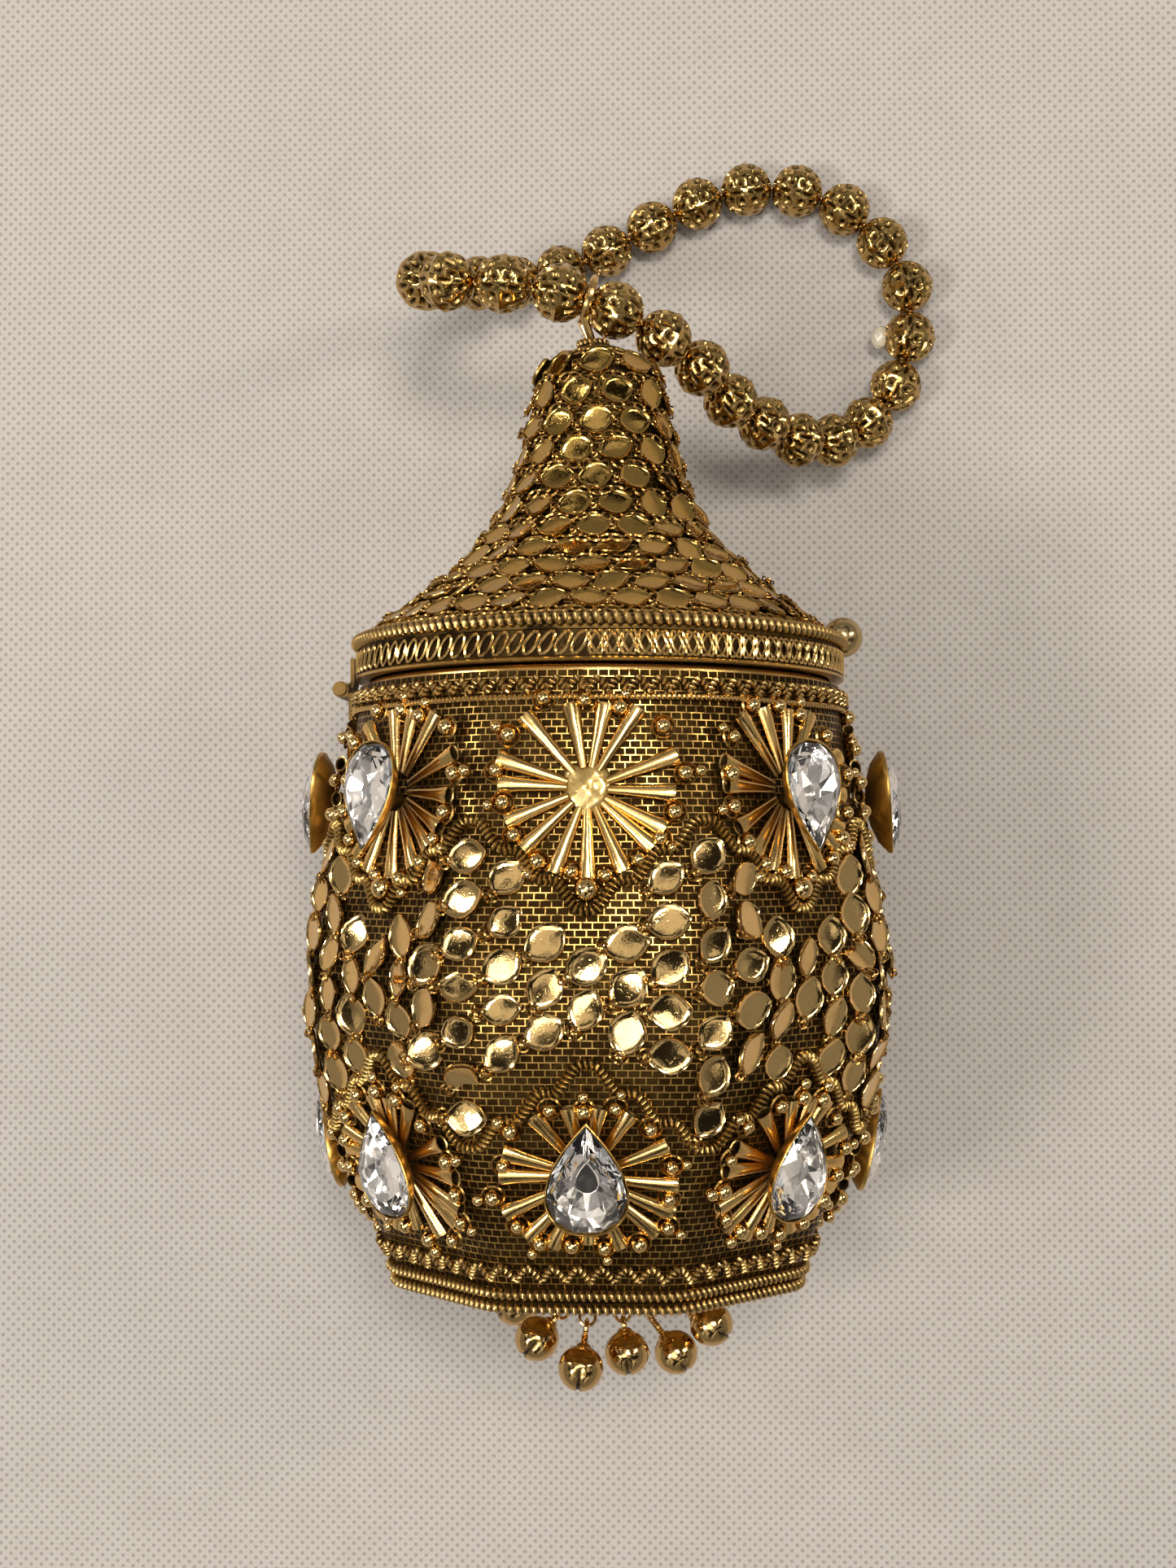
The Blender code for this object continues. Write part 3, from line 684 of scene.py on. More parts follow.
def strand_places(shares):
    """Points and directions of the strand at shares of its length."""
    index = np.round(np.asarray(shares) % 1.0 * len(STRAND_FINE)).astype(int) % len(STRAND_FINE)
    ahead = STRAND_FINE[(index + 6) % len(STRAND_FINE)]
    behind = STRAND_FINE[(index - 6) % len(STRAND_FINE)]
    return STRAND_FINE[index], unit(ahead - behind)


def axes_about(direction, spin):
    """Axes whose z is the direction, turned about it by the spin angles."""
    helper = np.where(np.abs(direction[..., 2:]) < 0.9, [[0.0, 0.0, 1.0]], [[1.0, 0.0, 0.0]])
    first = unit(np.cross(helper, direction))
    second = np.cross(direction, first)
    spin = np.asarray(spin)[..., None]
    side = np.cos(spin) * first + np.sin(spin) * second
    return np.stack([side, np.cross(direction, side), direction], -1)


def soft_holes(latitude, longitude, rows):
    """1 inside pierced ovals, 0 elsewhere; rows of (count, shift, middle, tall, wide, slant)."""
    depth = 0 * latitude * longitude
    for count, shift, middle, tall, wide, slant in rows:
        for side in (1.0, -1.0):
            up = (latitude * side - middle) / tall
            turn = (longitude / math.tau * count + shift + 0.5) % 1.0 - 0.5
            across = turn * math.tau / count * np.cos(middle) - slant * up * tall
            oval = np.exp(-((up**2 + (across / wide) ** 2) ** 3))
            depth = np.maximum(depth, oval)
    return depth


BEAD_HOLES = (  # count, shift, middle latitude, height, width, slant
    (8, 0.0, 0.50, 0.30, 0.085, 0.12),
    (8, 0.5, 0.28, 0.13, 0.15, 0.0),
    (8, 0.5, 0.80, 0.17, 0.09, -0.25),
    (5, 0.0, 1.18, 0.12, 0.12, 0.0),
)


def filigree_bead():
    """A thin ball of two stamped bowls: leaf-shaped piercings, sunk and painted dark as shade, and a
    raised seam.
    """
    latitude = np.linspace(-math.pi / 2 + 0.08, math.pi / 2 - 0.08, 37)[:, None]
    longitude = round_angles(56)[None]
    pierced = soft_holes(latitude, longitude, BEAD_HOLES)
    lobes = 0.015 * np.cos(8 * longitude) * np.cos(latitude)
    seam = 0.035 * np.exp(-((latitude / 0.07) ** 2))
    seam = seam - 0.03 * np.exp(-(((np.abs(latitude) - 0.13) / 0.04) ** 2))
    reach = BEAD_RADIUS * (0.985 + lobes + seam - 0.13 * pierced)
    level = reach * np.cos(latitude)
    points = stacked(level * np.cos(longitude), level * np.sin(longitude), reach * np.sin(latitude))
    return facing_out(grid_shape(points, recess=np.clip(pierced * 1.5, 0, 1)))


def make_strand():
    """The loop's wire is the cord; its filigree beads are threaded on it."""
    start = BAIL_AT + WIRE_END_GAP
    line, _ = strand_places(np.linspace(start, 1 + BAIL_AT - WIRE_END_GAP, 90))
    curve = bpy.data.curves.new("strand_wire", "CURVE")
    curve.dimensions = "3D"
    curve.bevel_depth = STRAND_WIRE * MM
    curve.bevel_resolution = 3
    curve.use_fill_caps = True
    spline = curve.splines.new("POLY")
    spline.points.add(len(line) - 1)
    placed = lay_down(line)
    for point, place in zip(spline.points, placed):
        point.co = (*place, 1.0)
    wire = add_object("strand_wire", curve)
    curve.materials.append(DARK_METAL)
    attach(wire, "lid")
    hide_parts("bead_strand")

    centres, ahead = strand_places(np.arange(BEAD_COUNT) / BEAD_COUNT)
    axes = axes_about(ahead, RNG.uniform(0, math.tau, BEAD_COUNT))
    strung = copies(filigree_bead(), centres, axes)
    beads = make_piece("filigree_beads", strung, BEAD_METAL, body="lid")
    spot, direction = strand_places([KNOT_AT])
    knot = copies(globe(2.6, 16, 12), spot, axes_about(direction, [0.4]), (0.8, 0.75, 1.0))
    knot = knot._replace(points=knot.points + np.array([-6.4, 0.6, 0.8]))
    make_piece("strand_knot", knot, CLEAR_GLUE, body="lid")


# ---- body --------------------------------------------------------------------
def make_body():
    """Outer skin down and inner skin back up, joined at both rims."""
    turn = round_angles(160)[None]
    spots = np.linspace(0.0, BODY_BASE, 70)[:, None]
    rows = np.concatenate([body_skin(turn, spots), body_skin(turn, spots[::-1], -WALL)])
    shape = facing_out(grid_shape(rows, row_loop=True, recess=0.1))
    make_piece("body_skin", shape, BODY_GROUND, "body_shell")


def triangle_wave(turn, at_centre, at_corner):
    """From one height at facet centres to another at corners, in three soft stairs."""
    share = np.abs((turn / FACET_TURN + 0.5) % 1.0 - 0.5) * 2
    share = share - np.sin(math.tau * 3 * share) / (math.tau * 3) * 1.1
    return at_centre + (at_corner - at_centre) * share


UPPER_ZIGZAG = dict(at_centre=-41.9, at_corner=-26.5)
LOWER_ZIGZAG = dict(at_centre=-67.6, at_corner=-82.2)


def ring_line(skin, spot, lift, count=1200):
    """A closed line round a skin; spot may change with the turn."""
    turn = round_angles(count)
    origins, axes = frames_on(skin, turn, spot(turn) if callable(spot) else spot, lift)
    return origins, axes[..., 2]


def coil_round(skin, spot, lift, radius, pitch=COIL_PITCH, count=1200):
    """Wire wound on a closed line round a skin."""
    return coil(*ring_line(skin, spot, lift, count), radius, pitch)


def scallops(spot, depth, count):
    """A row of arches: |sin| of the turn, hung below a height."""
    return lambda turn: spot + depth * np.abs(np.sin(turn * count / 2))


def make_body_wires():
    for name, zigzag in (("upper_zigzag", UPPER_ZIGZAG), ("lower_zigzag", LOWER_ZIGZAG)):
        wire = coil_round(body_skin, lambda turn, ends=zigzag: triangle_wave(turn, **ends), 0.9, 1.2)
        make_piece(name, wire, ROPE_METAL)
    arches = coil_round(body_skin, scallops(-3.9, 2.1, 84), 0.9, 0.85, count=3360)
    thin = rope(*ring_line(body_skin, -4.9, 0.7), 0.45, 0.32, 1.8)
    make_piece("mouth_scallops", join(arches, thin), WIRE_METAL, "mouth_trim")
    arches = coil_round(body_skin, scallops(BODY_BASE + 6.2, 2.4, 60), 1.0, 0.8, count=2880)
    edge = coil_round(body_skin, BODY_BASE + 1.0, 1.1, 1.15, pitch=1.4)
    upper_edge = coil_round(body_skin, BODY_BASE + 3.5, 0.9, 1.05, pitch=1.3)
    make_piece("base_rim_wires", join(arches, edge, upper_edge), WIRE_METAL, "base_trim")


# ---- petals ------------------------------------------------------------------
PETAL_RINGS = (  # reach, height, recess
    # the recess column paints shade at the leaf's foot and beside its rim
    (0.97, 0.0, 0.7),
    (1.0, 0.10, 0.2),
    (0.97, 0.15, 0.0),
    (0.90, 0.105, 0.12),
    (0.62, 0.085, 0.0),
    (0.33, 0.075, 0.0),
    (0.08, 0.070, 0.0),
)


def petal():
    """A dished leaf, 1 wide and 1 long: x = sin a |sin a|^0.6, y = cos a, raised rim."""
    a = round_angles(16)[None]
    reach, height, recess = np.array(PETAL_RINGS).T[:, :, None]
    x = 0.5 * reach * np.sin(a) * np.abs(np.sin(a)) ** 0.6
    return facing_out(grid_shape(stacked(x, 0.5 * reach * np.cos(a), height), recess=recess))


def curl_cluster():
    """Four small wire loops that stand up beside each other."""
    ring = wire_ring(0.75, 0.22, 10, 4)
    spots = np.array([[-0.9, 0.0, 0.5], [0.0, -0.5, 0.6], [0.9, 0.0, 0.5], [0.1, 0.5, 0.8]])
    tilt = np.array([0.5, -0.3, -0.6, 0.2])
    z = np.stack([np.sin(tilt), np.array([0.3, -0.5, 0.3, 0.6]), np.cos(tilt)], -1)
    return copies(ring, spots, axes_about(unit(z), [0.0, 0.8, 1.9, 2.6]))


PETAL_COLUMNS = 48
PETAL_SIZE = (6.5, 7.9, 4.8)  # width, length and height
FIRST_PETAL = -29.0
FRONT_PITCH = 7.4
SIDE_PITCH = 7.1
FRONT_HALF = 0.62  # of a turn's radians either side of the front, where leaves hang looser


def petal_places():
    """Columns of places between the two zigzags, every other column half a step on."""
    places = []
    for column in range(PETAL_COLUMNS):
        turn = math.tau * column / PETAL_COLUMNS
        front = abs((turn + math.pi) % math.tau - math.pi) < FRONT_HALF
        pitch = FRONT_PITCH if front else SIDE_PITCH
        top = triangle_wave(turn, **UPPER_ZIGZAG) - 4.2
        bottom = triangle_wave(turn, **LOWER_ZIGZAG) + 4.0
        for step in range(9):
            height = FIRST_PETAL - (column % 2) * pitch / 2 - step * pitch
            if bottom <= height <= top:
                lean = 1.0 + RNG.normal(0, 0.3) if front else RNG.normal(0, 0.10)
                places.append((turn, height, lean))
    return np.array(places).T


def make_petals():
    turns, heights, leans = petal_places()
    origins, axes = frames_on(body_skin, turns, heights, 0.5)
    axes = rocked(swung(axes, leans), 0.19)
    sizes = RNG.uniform(0.9, 1.12, len(turns))[:, None] * np.array(PETAL_SIZE)
    make_piece("body_petals", copies(petal(), origins, axes, sizes), MIRROR_GOLD)
    ends = origins - axes[..., 1] * 4.3
    make_piece("petal_curls", copies(curl_cluster(), ends, axes), CURL_METAL)


# ---- rosettes ----------------------------------------------------------------
RAY_ANGLES = (10, 31, 67, 94, 116, 134, 155, 180, 203, 225, 245, 270, 288, 320, 346)
RAY_START = 3.6
ROSETTE_ROWS = (("upper", -21.0), ("lower", -86.8))


def bugle_ray():
    """A flattened tube that widens to an open end at y = 1, its throat painted dark as shade."""
    stations = (  # y, half width, half height, recess
        (0.0, 0.52, 0.45, 0.4),
        (0.3, 0.70, 0.6, 0.0),
        (0.7, 0.95, 0.7, 0.0),
        (0.95, 1.22, 0.8, 0.0),
        (1.0, 1.18, 0.75, 0.0),
        (0.99, 0.92, 0.55, 0.7),
        (0.8, 0.50, 0.3, 1.0),
    )
    y, wide, high, recess = np.array(stations).T[:, :, None]
    a = round_angles(10)[None]
    points = stacked(wide * np.cos(a), y, high * np.sin(a))
    return facing_out(grid_shape(points, recess=recess))


def rosette(height, face, upper):
    """Rays, pearls between their tips and small wire rings, in one facet's axes."""
    centre, axes = frames_on(body_skin, face * FACET_TURN, height)
    count = len(RAY_ANGLES)
    angles = np.radians(RAY_ANGLES) + RNG.normal(0, 0.03, count)
    sides = np.abs(np.sin(angles))
    low = np.clip(-np.cos(angles), 0, 1)
    high = np.clip(np.cos(angles), 0, 1)
    if upper:
        tips = 14.2 + 1.0 * sides + 4.2 * high * sides + 1.6 * low**4
    else:
        tips = 12.8 + 2.4 * sides + 3.0 * low * sides
    spun = swung(np.broadcast_to(axes, (count, 3, 3)), angles)
    start = centre + spun[..., 1] * RAY_START + spun[..., 2] * 1.1
    rays = copies(bugle_ray(), start, spun, stacked(1.38, tips - RAY_START, 1.4))

    between = (angles + np.roll(angles, -1)) / 2
    between[-1] = math.radians(-2)
    reach = tips - 0.1 + RNG.uniform(-1.0, 0.9, count)
    spots = swung(np.broadcast_to(axes, (count, 3, 3)), between)
    places = centre + spots[..., 1] * reach[:, None] + spots[..., 2] * 1.7
    size = RNG.uniform(0.85, 1.12, count)[:, None] * np.ones(3)
    pearls = [copies(globe(1.4, 12, 8), places, spots, size)]
    beyond = centre + spots[::2, :, 1] * (reach[::2] + 2.6)[:, None] + spots[::2, :, 2] * 1.3
    pearls.append(copies(globe(1.1, 10, 7), beyond, spots[::2], size[::2]))
    if upper:
        point = centre - axes[:, 1] * 17.6 + axes[:, 2] * 2.0
        pearls.append(copies(globe(2.2, 14, 10), point, axes[None]))
    rings = copies(wire_ring(1.9, 0.26, 12, 4), places - spots[..., 2] * 0.6, spots)
    return rays, join(*pearls), rings


def make_rosettes():
    kinds = (("rays", RAY_METAL), ("pearls", PEARL_METAL), ("pearl_wires", CURL_METAL))
    for row_name, height in ROSETTE_ROWS:
        made = [rosette(height, face, row_name == "upper") for face in range(FACETS)]
        for (kind, metal), shapes in zip(kinds, zip(*made)):
            make_piece(f"{row_name}_{kind}", join(*shapes), metal)


# ---- crystals and cups -------------------------------------------------------
STONE_WIDTH = 13.0
STONE_LENGTH = 18.0
REST_RADIUS = float(AXIS_HEIGHT) / MM
UPPER_ROW = dict(z=-21.5, radius=REST_RADIUS, tilt=6.0, tip=-1)
LOWER_ROW = dict(z=-87.8, radius=54.9, tilt=-12.0, tip=1)
POST_RADIUS = 1.4
BODY_AT = {"upper": 48.3, "lower": 46.95}


def pear_ring(scale, height, shift=0.0, count=13):
    """x = sin t sin(t / 2), y = cos t: an egg whose tip is at +y."""
    t = round_angles(count, shift)
    x = STONE_WIDTH / 2 * np.sin(t) * np.sin(t / 2 % math.pi) / 0.7698
    return stacked(x * scale, STONE_LENGTH / 2 * np.cos(t) * scale, height)


STONE_RINGS = (  # scale, height, shift: the table, crown, girdle and pavilion
    (0.50, 0.0, 0.0),
    (0.80, -0.75, 0.5),
    (1.045, -2.1, 0.0),
    (1.045, -2.4, 0.0),
    (0.72, -3.9, 0.5),
    (0.30, -5.2, 0.0),
)
SILVER_RINGS = (  # a thin bowl under the pavilion
    (0.31, -5.32, 0.0),
    (0.73, -4.0, 0.5),
    (1.06, -2.45, 0.0),
    (1.07, -2.5, 0.0),
    (0.74, -4.12, 0.5),
    (0.32, -5.5, 0.0),
)
CUP_RINGS = (  # scale, height, recess: a thin wall round the stone
    # the recess column paints shade inside the cup and under it
    (0.34, -5.6, 1.0),
    (0.76, -4.4, 1.0),
    (1.08, -2.8, 0.8),
    (1.075, -2.3, 0.3),
    (1.09, -2.15, 0.0),
    (1.12, -2.3, 0.0),
    (1.11, -3.0, 0.2),
    (0.86, -4.8, 0.6),
    (0.50, -6.0, 0.7),
)


def faceted(rows):
    """Facets between pear rings, triangles where the next ring is half a step on."""
    rings = [pear_ring(*row) for row in rows]
    count = len(rings[0])
    j = np.arange(count)
    k = (j + 1) % count
    faces = []
    for level in range(len(rows) - 1):
        a, b = level * count, (level + 1) * count
        if rows[level][2] == rows[level + 1][2]:
            corners = [(a + j, a + k, b + k, b + j)]
        elif rows[level + 1][2]:
            corners = [(a + j, a + k, b + j), (a + k, b + k, b + j)]
        else:
            corners = [(a + j, b + k, b + j), (a + j, a + k, b + k)]
        faces.extend(np.stack(each, -1) for each in corners)
    faces.append(j[None, ::-1])
    faces.append((len(rows) - 1) * count + j[None])
    points = np.concatenate(rings)
    return facing_out(Shape(points, faces, np.zeros(len(points))))


def open_cup(post_end):
    """The cup and its post; the post's rows are radius, height and recess."""
    # the post gets painted shade too
    post = ((2.1, -6.4, 0.7), (POST_RADIUS, -6.8, 0.6), (POST_RADIUS, -post_end, 0.8))
    t = round_angles(36)
    rings = [pear_ring(scale, height, count=36) for scale, height, _ in CUP_RINGS]
    rings += [stacked(radius * np.sin(t), radius * np.cos(t), height) for radius, height, _ in post]
    recess = np.array([row[2] for row in CUP_RINGS + post])[:, None]
    return facing_out(grid_shape(np.array(rings), recess=recess))


def stone_axes(face, z, radius, tilt, tip):
    """Origin on the table, y towards the stone's tip and z out through its table."""
    turn, lean = face * FACET_TURN, math.radians(tilt)
    outward = np.array([math.sin(turn), -math.cos(turn), 0.0])
    across = np.array([math.cos(turn), math.sin(turn), 0.0])
    lidward = np.array([0.0, 0.0, 1.0])
    normal = outward * math.cos(lean) + lidward * math.sin(lean)
    along = lidward * math.cos(lean) - outward * math.sin(lean)
    return outward * radius + lidward * z, np.stack([across * tip, along * tip, normal], -1)


def make_stones():
    stone, silver = faceted(STONE_RINGS), faceted(SILVER_RINGS)
    for row_name, row in (("upper", UPPER_ROW), ("lower", LOWER_ROW)):
        for face, face_name in enumerate(FACE_NAMES):
            if row_name == "upper" and face_name == "front":
                continue
            spot = dict(row)
            if face_name == "back":
                spot.update(radius=REST_RADIUS, tilt=0.0)
            origin, axes = stone_axes(face, **spot)
            cup = open_cup(spot["radius"] - BODY_AT[row_name] - 0.3)
            for kind, shape, metal, node, slot, crease in (
                ("crystal", stone, CRYSTAL, "stone", "crystal", 1.0),
                ("silver", silver, FOIL, None, None, 1.0),
                ("setting", cup, CUP_METAL, "cup", "dark_gold", 40.0),
            ):
                place = f"{row_name}_{face_name}"
                placed = copies(shape, origin, axes)
                stands_for = f"{node}_{place}" if node else None
                make_piece(f"{kind}_{place}", placed, metal, stands_for, crease=crease)


def make_glue_pad():
    """A heart of dried glue: a pear outline, notched, domed and dimpled."""
    t = round_angles(36)[None]
    reach = np.linspace(1.0, 0.06, 9)[:, None]
    x = 5.0 * np.sin(t) * np.sqrt(np.abs(np.sin(t / 2))) * reach
    notch = 1.3 * np.exp(-((np.minimum(np.abs(t - math.pi), 3)) ** 2) * 7)
    y = (5.4 * np.cos(t) + notch + 0.35 * np.sin(5 * t)) * reach
    dimples = 0.25 * np.sin(1.3 * x + 0.5) * np.cos(1.1 * y) * (reach < 0.97)
    top = stacked(x, y, 1.6 * (1 - reach**4) ** 0.5 + dimples + 0.1)
    foot = top[:1] * [1, 1, 0] - [0, 0, 0.1]
    pad = facing_out(grid_shape(np.concatenate([foot, top])))
    origin, axes = frames_on(body_skin, 0.0, -20.9)
    heart = copies(pad, origin, swung(axes, math.pi)[None])
    make_piece("front_glue_pad", heart, GLUE, "glue_pad")


# ---- lid ---------------------------------------------------------------------
def make_lid():
    """Inner skin up and outer skin down, closed at the rim and at the top."""
    turn = round_angles(128)[None]
    near_top = LID_TOP - 12 * np.cos(np.linspace(0.1, 1.56, 16))
    spots = np.concatenate([np.linspace(0, LID_TOP - 12, 60), near_top])[:, None]
    rows = np.concatenate([lid_skin(turn, spots[::-1], -WALL), lid_skin(turn, spots)])
    make_piece("lid_skin", facing_out(grid_shape(rows, recess=0.1)), LID_GROUND, "lid_shell", "lid")


LID_ROW_STEP = 6.1
LID_FIRST_ROW = 4.6
LID_PETAL_LENGTH = 7.4
LID_PETAL_WIDTH = 5.9
LID_PETAL_HEIGHT = 4.6
CHAIN_PITCH = 2.1


def lid_girth(travel):
    return math.tau * float(lid_skin(0.0, travel)[1] * -1)


def lid_petal_places():
    """Rows up the lid; each row's count follows the girth there."""
    rows = []
    for row, travel in enumerate(np.arange(LID_FIRST_ROW, LID_TOP - 10, LID_ROW_STEP)):
        count = max(6, round(lid_girth(travel) / LID_PETAL_LENGTH))
        length = min(LID_PETAL_LENGTH, lid_girth(travel) / count * 0.98)
        rows.append(stacked(round_angles(count, 0.5 * (row % 2)), travel, length))
    return np.concatenate(rows).T


def make_lid_petals():
    """Leaves that lie across the lid, with curls and chains of wire between them."""
    turns, spots, lengths = lid_petal_places()
    origins, axes = frames_on(lid_skin, turns, spots, 0.4)
    lean = math.pi / 2 - 0.25 + RNG.normal(0, 0.12, len(turns))
    axes = rocked(swung(axes, lean), 0.13)
    leaves = copies(petal(), origins, axes, stacked(LID_PETAL_WIDTH, lengths, LID_PETAL_HEIGHT))
    make_piece("lid_petals", leaves, LID_MIRROR, body="lid")
    ends = origins - axes[..., 1] * (lengths * 0.55)[:, None]
    make_piece("lid_curls", copies(curl_cluster(), ends, axes, 0.8), CURL_METAL, body="lid")
    links = []
    for travel in np.arange(LID_FIRST_ROW - LID_ROW_STEP / 2, LID_TOP - 8, LID_ROW_STEP):
        count = max(12, round(lid_girth(travel) / CHAIN_PITCH))
        middles, around = frames_on(lid_skin, round_angles(count), travel, 0.45)
        tipped = swung(around, np.where(np.arange(count) % 2, 1.1, 2.0))
        links.append(copies(wire_ring(0.85, 0.27, 10, 4, 1.55), middles, tipped))
    make_piece("lid_chains", join(*links), CURL_METAL, body="lid")


LID_FRAME_LOW = 1.6
LID_FRAME_HIGH = 8.5
LID_FRAME_OUTER = 47.2
LID_FRAME_INNER = 45.0


def frame_skin(turn, z):
    """The lid rim's plain cylinder."""
    return about_axis(LID_FRAME_OUTER, turn, z)


RIM_SECTION = (  # radius, z, recess
    (LID_FRAME_INNER, LID_FRAME_LOW, 0.3),
    (LID_FRAME_OUTER + 0.4, LID_FRAME_LOW, 0.0),
    (LID_FRAME_OUTER + 0.6, LID_FRAME_LOW + 0.3, 0.0),
    (LID_FRAME_OUTER + 0.4, LID_FRAME_LOW + 0.6, 0.2),
    # painted shade: the band behind the wire loops is darkened to 0.95
    (LID_FRAME_OUTER - 0.1, LID_FRAME_LOW + 0.75, 0.95),
    (LID_FRAME_OUTER - 0.1, LID_FRAME_HIGH - 1.6, 0.95),
    (LID_FRAME_OUTER - 0.4, LID_FRAME_HIGH - 1.4, 0.9),
    (LID_FRAME_OUTER - 0.4, LID_FRAME_HIGH, 0.6),
    (46.0, LID_FRAME_HIGH + 0.9, 0.5),
    (45.2, LID_FRAME_HIGH + 1.6, 0.4),
    (44.4, LID_FRAME_HIGH + 1.1, 0.4),
    (44.3, LID_FRAME_HIGH + 0.2, 0.4),
    (LID_FRAME_INNER, LID_FRAME_HIGH - 0.3, 0.4),
)
RIM_LOOPS = 104


def make_lid_frame():
    """A ring with rolled edges and a lip under the lid, wire loops on it, a coil above."""
    make_piece("lid_rim_ring", turned(RIM_SECTION), FRAME_METAL, "lid_frame", "lid")
    turn = round_angles(RIM_LOOPS, 0.5)
    left = turn > math.pi
    middle = (LID_FRAME_LOW + LID_FRAME_HIGH) / 2 - 0.4
    origins, axes = frames_on(frame_skin, turn, middle, 0.25)
    loops = []
    for half, slant, wire, stretch in (
        (left, 0.55, 0.3, 2.35),
        (~left, 0.42, 0.28, 2.3),
        (~left, -0.42, 0.28, 2.3),
    ):
        loop = wire_ring(0.95, wire, 12, 5, stretch)
        loops.append(copies(loop, origins[half], swung(axes[half], slant)))
    loops.append(coil_round(frame_skin, LID_FRAME_HIGH + 0.3, 0.1, 1.4, pitch=1.75))
    make_piece("lid_rim_lattice", join(*loops), WIRE_METAL, body="lid")


BAIL_RADIUS = 4.5
COLLAR_RADIUS = 2.6
COLLAR_HEIGHT = 69.0


def make_bail():
    """A wire eye round the strand, its ends wound into a collar on the lid's top."""
    middle, tangent = (value[0] for value in strand_places([BAIL_AT]))
    rise = unit(LIDWARD - tangent * tangent[2])
    across = np.cross(tangent, rise)
    angle = np.radians(np.linspace(-58, 238, 40))[:, None]
    eye = middle + BAIL_RADIUS * (across * np.cos(angle) + rise * np.sin(angle))
    feet = []
    for end in (eye[0], eye[-1]):
        side = 1.0 if end[1] > middle[1] else -1.0
        feet.append([middle[0] * 0.6, side * 1.3 + middle[1] * 0.4, COLLAR_HEIGHT - 0.3])
    line = evenly(np.concatenate([feet[:1], eye, feet[1:]]), 90)
    a = round_angles(40)
    collar = stacked(COLLAR_RADIUS * np.cos(a), COLLAR_RADIUS * np.sin(a), 0.0)
    wound = coil(collar + [middle[0] * 0.6, 0.0, COLLAR_HEIGHT], LIDWARD, 0.8)
    make_piece("bail_wire", join(tube(line, tangent, 0.78), wound), WIRE_METAL, "bail", "lid")


# ---- base and bells ----------------------------------------------------------
BELL_RADIUS = 4.3
RING_RADIUS = 1.5
RING_STEP = 2.0
# eyelet and bell centres, each as x, height above the axis, z
BELLS = (
    ((-9.0, -5.2, -117.5), (-17.4, -10.0, -121.9)),
    ((-7.2, 3.8, -119.9), (-11.8, 6.2, -124.8)),
    ((-2.0, 8.0, -120.3), (-3.1, 12.0, -128.9)),
    ((4.6, 4.2, -120.3), (5.4, 5.0, -127.6)),
    ((7.8, -2.6, -119.9), (14.8, -5.0, -129.8)),
    ((10.2, -1.9, -117.5), (21.7, -4.0, -124.0)),
)


def hung_bells():
    """Each bell's eyelet and centre, the way it hangs and the axis that it swings about."""
    for spots in BELLS:
        eyelet, bell = (bag_point(*spot) for spot in spots)
        hang = unit(bell - eyelet)
        yield eyelet, bell, hang, unit(np.cross(hang, UP))


def jingle_bell():
    """A ball with a seam and a crossed slit sunk into its lower half (-z), the slit painted dark as
    shade.
    """
    v = np.linspace(0.06, math.pi - 0.06, 34)[::-1, None]
    u = round_angles(40)[None]
    x, y, z = np.sin(v) * np.cos(u), np.sin(v) * np.sin(u), np.cos(v) + 0 * u
    slit = np.exp(-((x / 0.10) ** 4)) * (z < -0.15)
    hole = (np.abs(x) / 0.16) ** 2 + ((np.abs(y) - 0.86) / 0.12) ** 2 + (z + 0.45) ** 2 / 0.02
    sunk = np.maximum(slit, np.exp(-hole))
    seam = np.exp(-((z / 0.05) ** 2))
    reach = BELL_RADIUS * (0.99 - 0.10 * sunk + 0.02 * seam)
    points = stacked(x, y, z) * reach[..., None]
    return facing_out(grid_shape(points, recess=np.clip(sunk * 1.4, 0, 1)))


def make_bells():
    """Each bell with its shank ring, its wound stem and a small cap."""
    ball = jingle_bell()
    for number, (eyelet, bell, hang, axis) in enumerate(hung_bells(), start=1):
        axes = np.stack([axis, np.cross(-hang, axis), -hang], -1)
        ring_at = eyelet + hang * RING_STEP
        ring_axes = np.stack([hang, np.cross(axis, hang), axis], -1)
        ring = copies(wire_ring(RING_RADIUS, 0.45, 20, 6), ring_at, ring_axes)
        stem_start = ring_at + hang * (RING_RADIUS - 0.1)
        stem_end = bell - hang * (BELL_RADIUS - 0.15)
        share = np.linspace(0, 1, 24)[:, None]
        line = stem_start + (stem_end - stem_start) * share
        stem = tube(line, axis, 0.66 + 0.12 * np.cos(share[:, 0] * 50))
        top = bell - hang * (BELL_RADIUS + np.array([[0.4], [0.1], [-0.3]]))
        cap = tube(top, axis, np.array([0.9, 1.3, 1.5]), 12)
        whole = join(copies(ball, bell, axes), ring, stem, cap)
        name, swing = f"bell_{number}", f"bell_{number}_swing"
        make_piece(f"jingle_{name}", whole, BELL_METAL, name, swing)


# the recess column paints shade where the boss meets the plate and in its groove
BOSS_SECTION = (  # radius, z from the body's base, recess
    (0.3, -0.3, 0.5),
    (8.2, -0.3, 0.6),
    (8.6, -1.6, 0.5),
    (9.4, -2.6, 0.1),
    (9.5, -5.6, 0.1),
    (9.0, -6.4, 0.0),
    (7.4, -6.5, 0.0),
    (6.9, -6.1, 0.6),
    (4.0, -6.4, 0.2),
    (0.3, -6.8, 0.1),
)
PLATE_RINGS = ((0.955, 1.7), (0.955, 0.6), (0.93, 0.3), (0.5, 0.3), (0.05, 0.3))


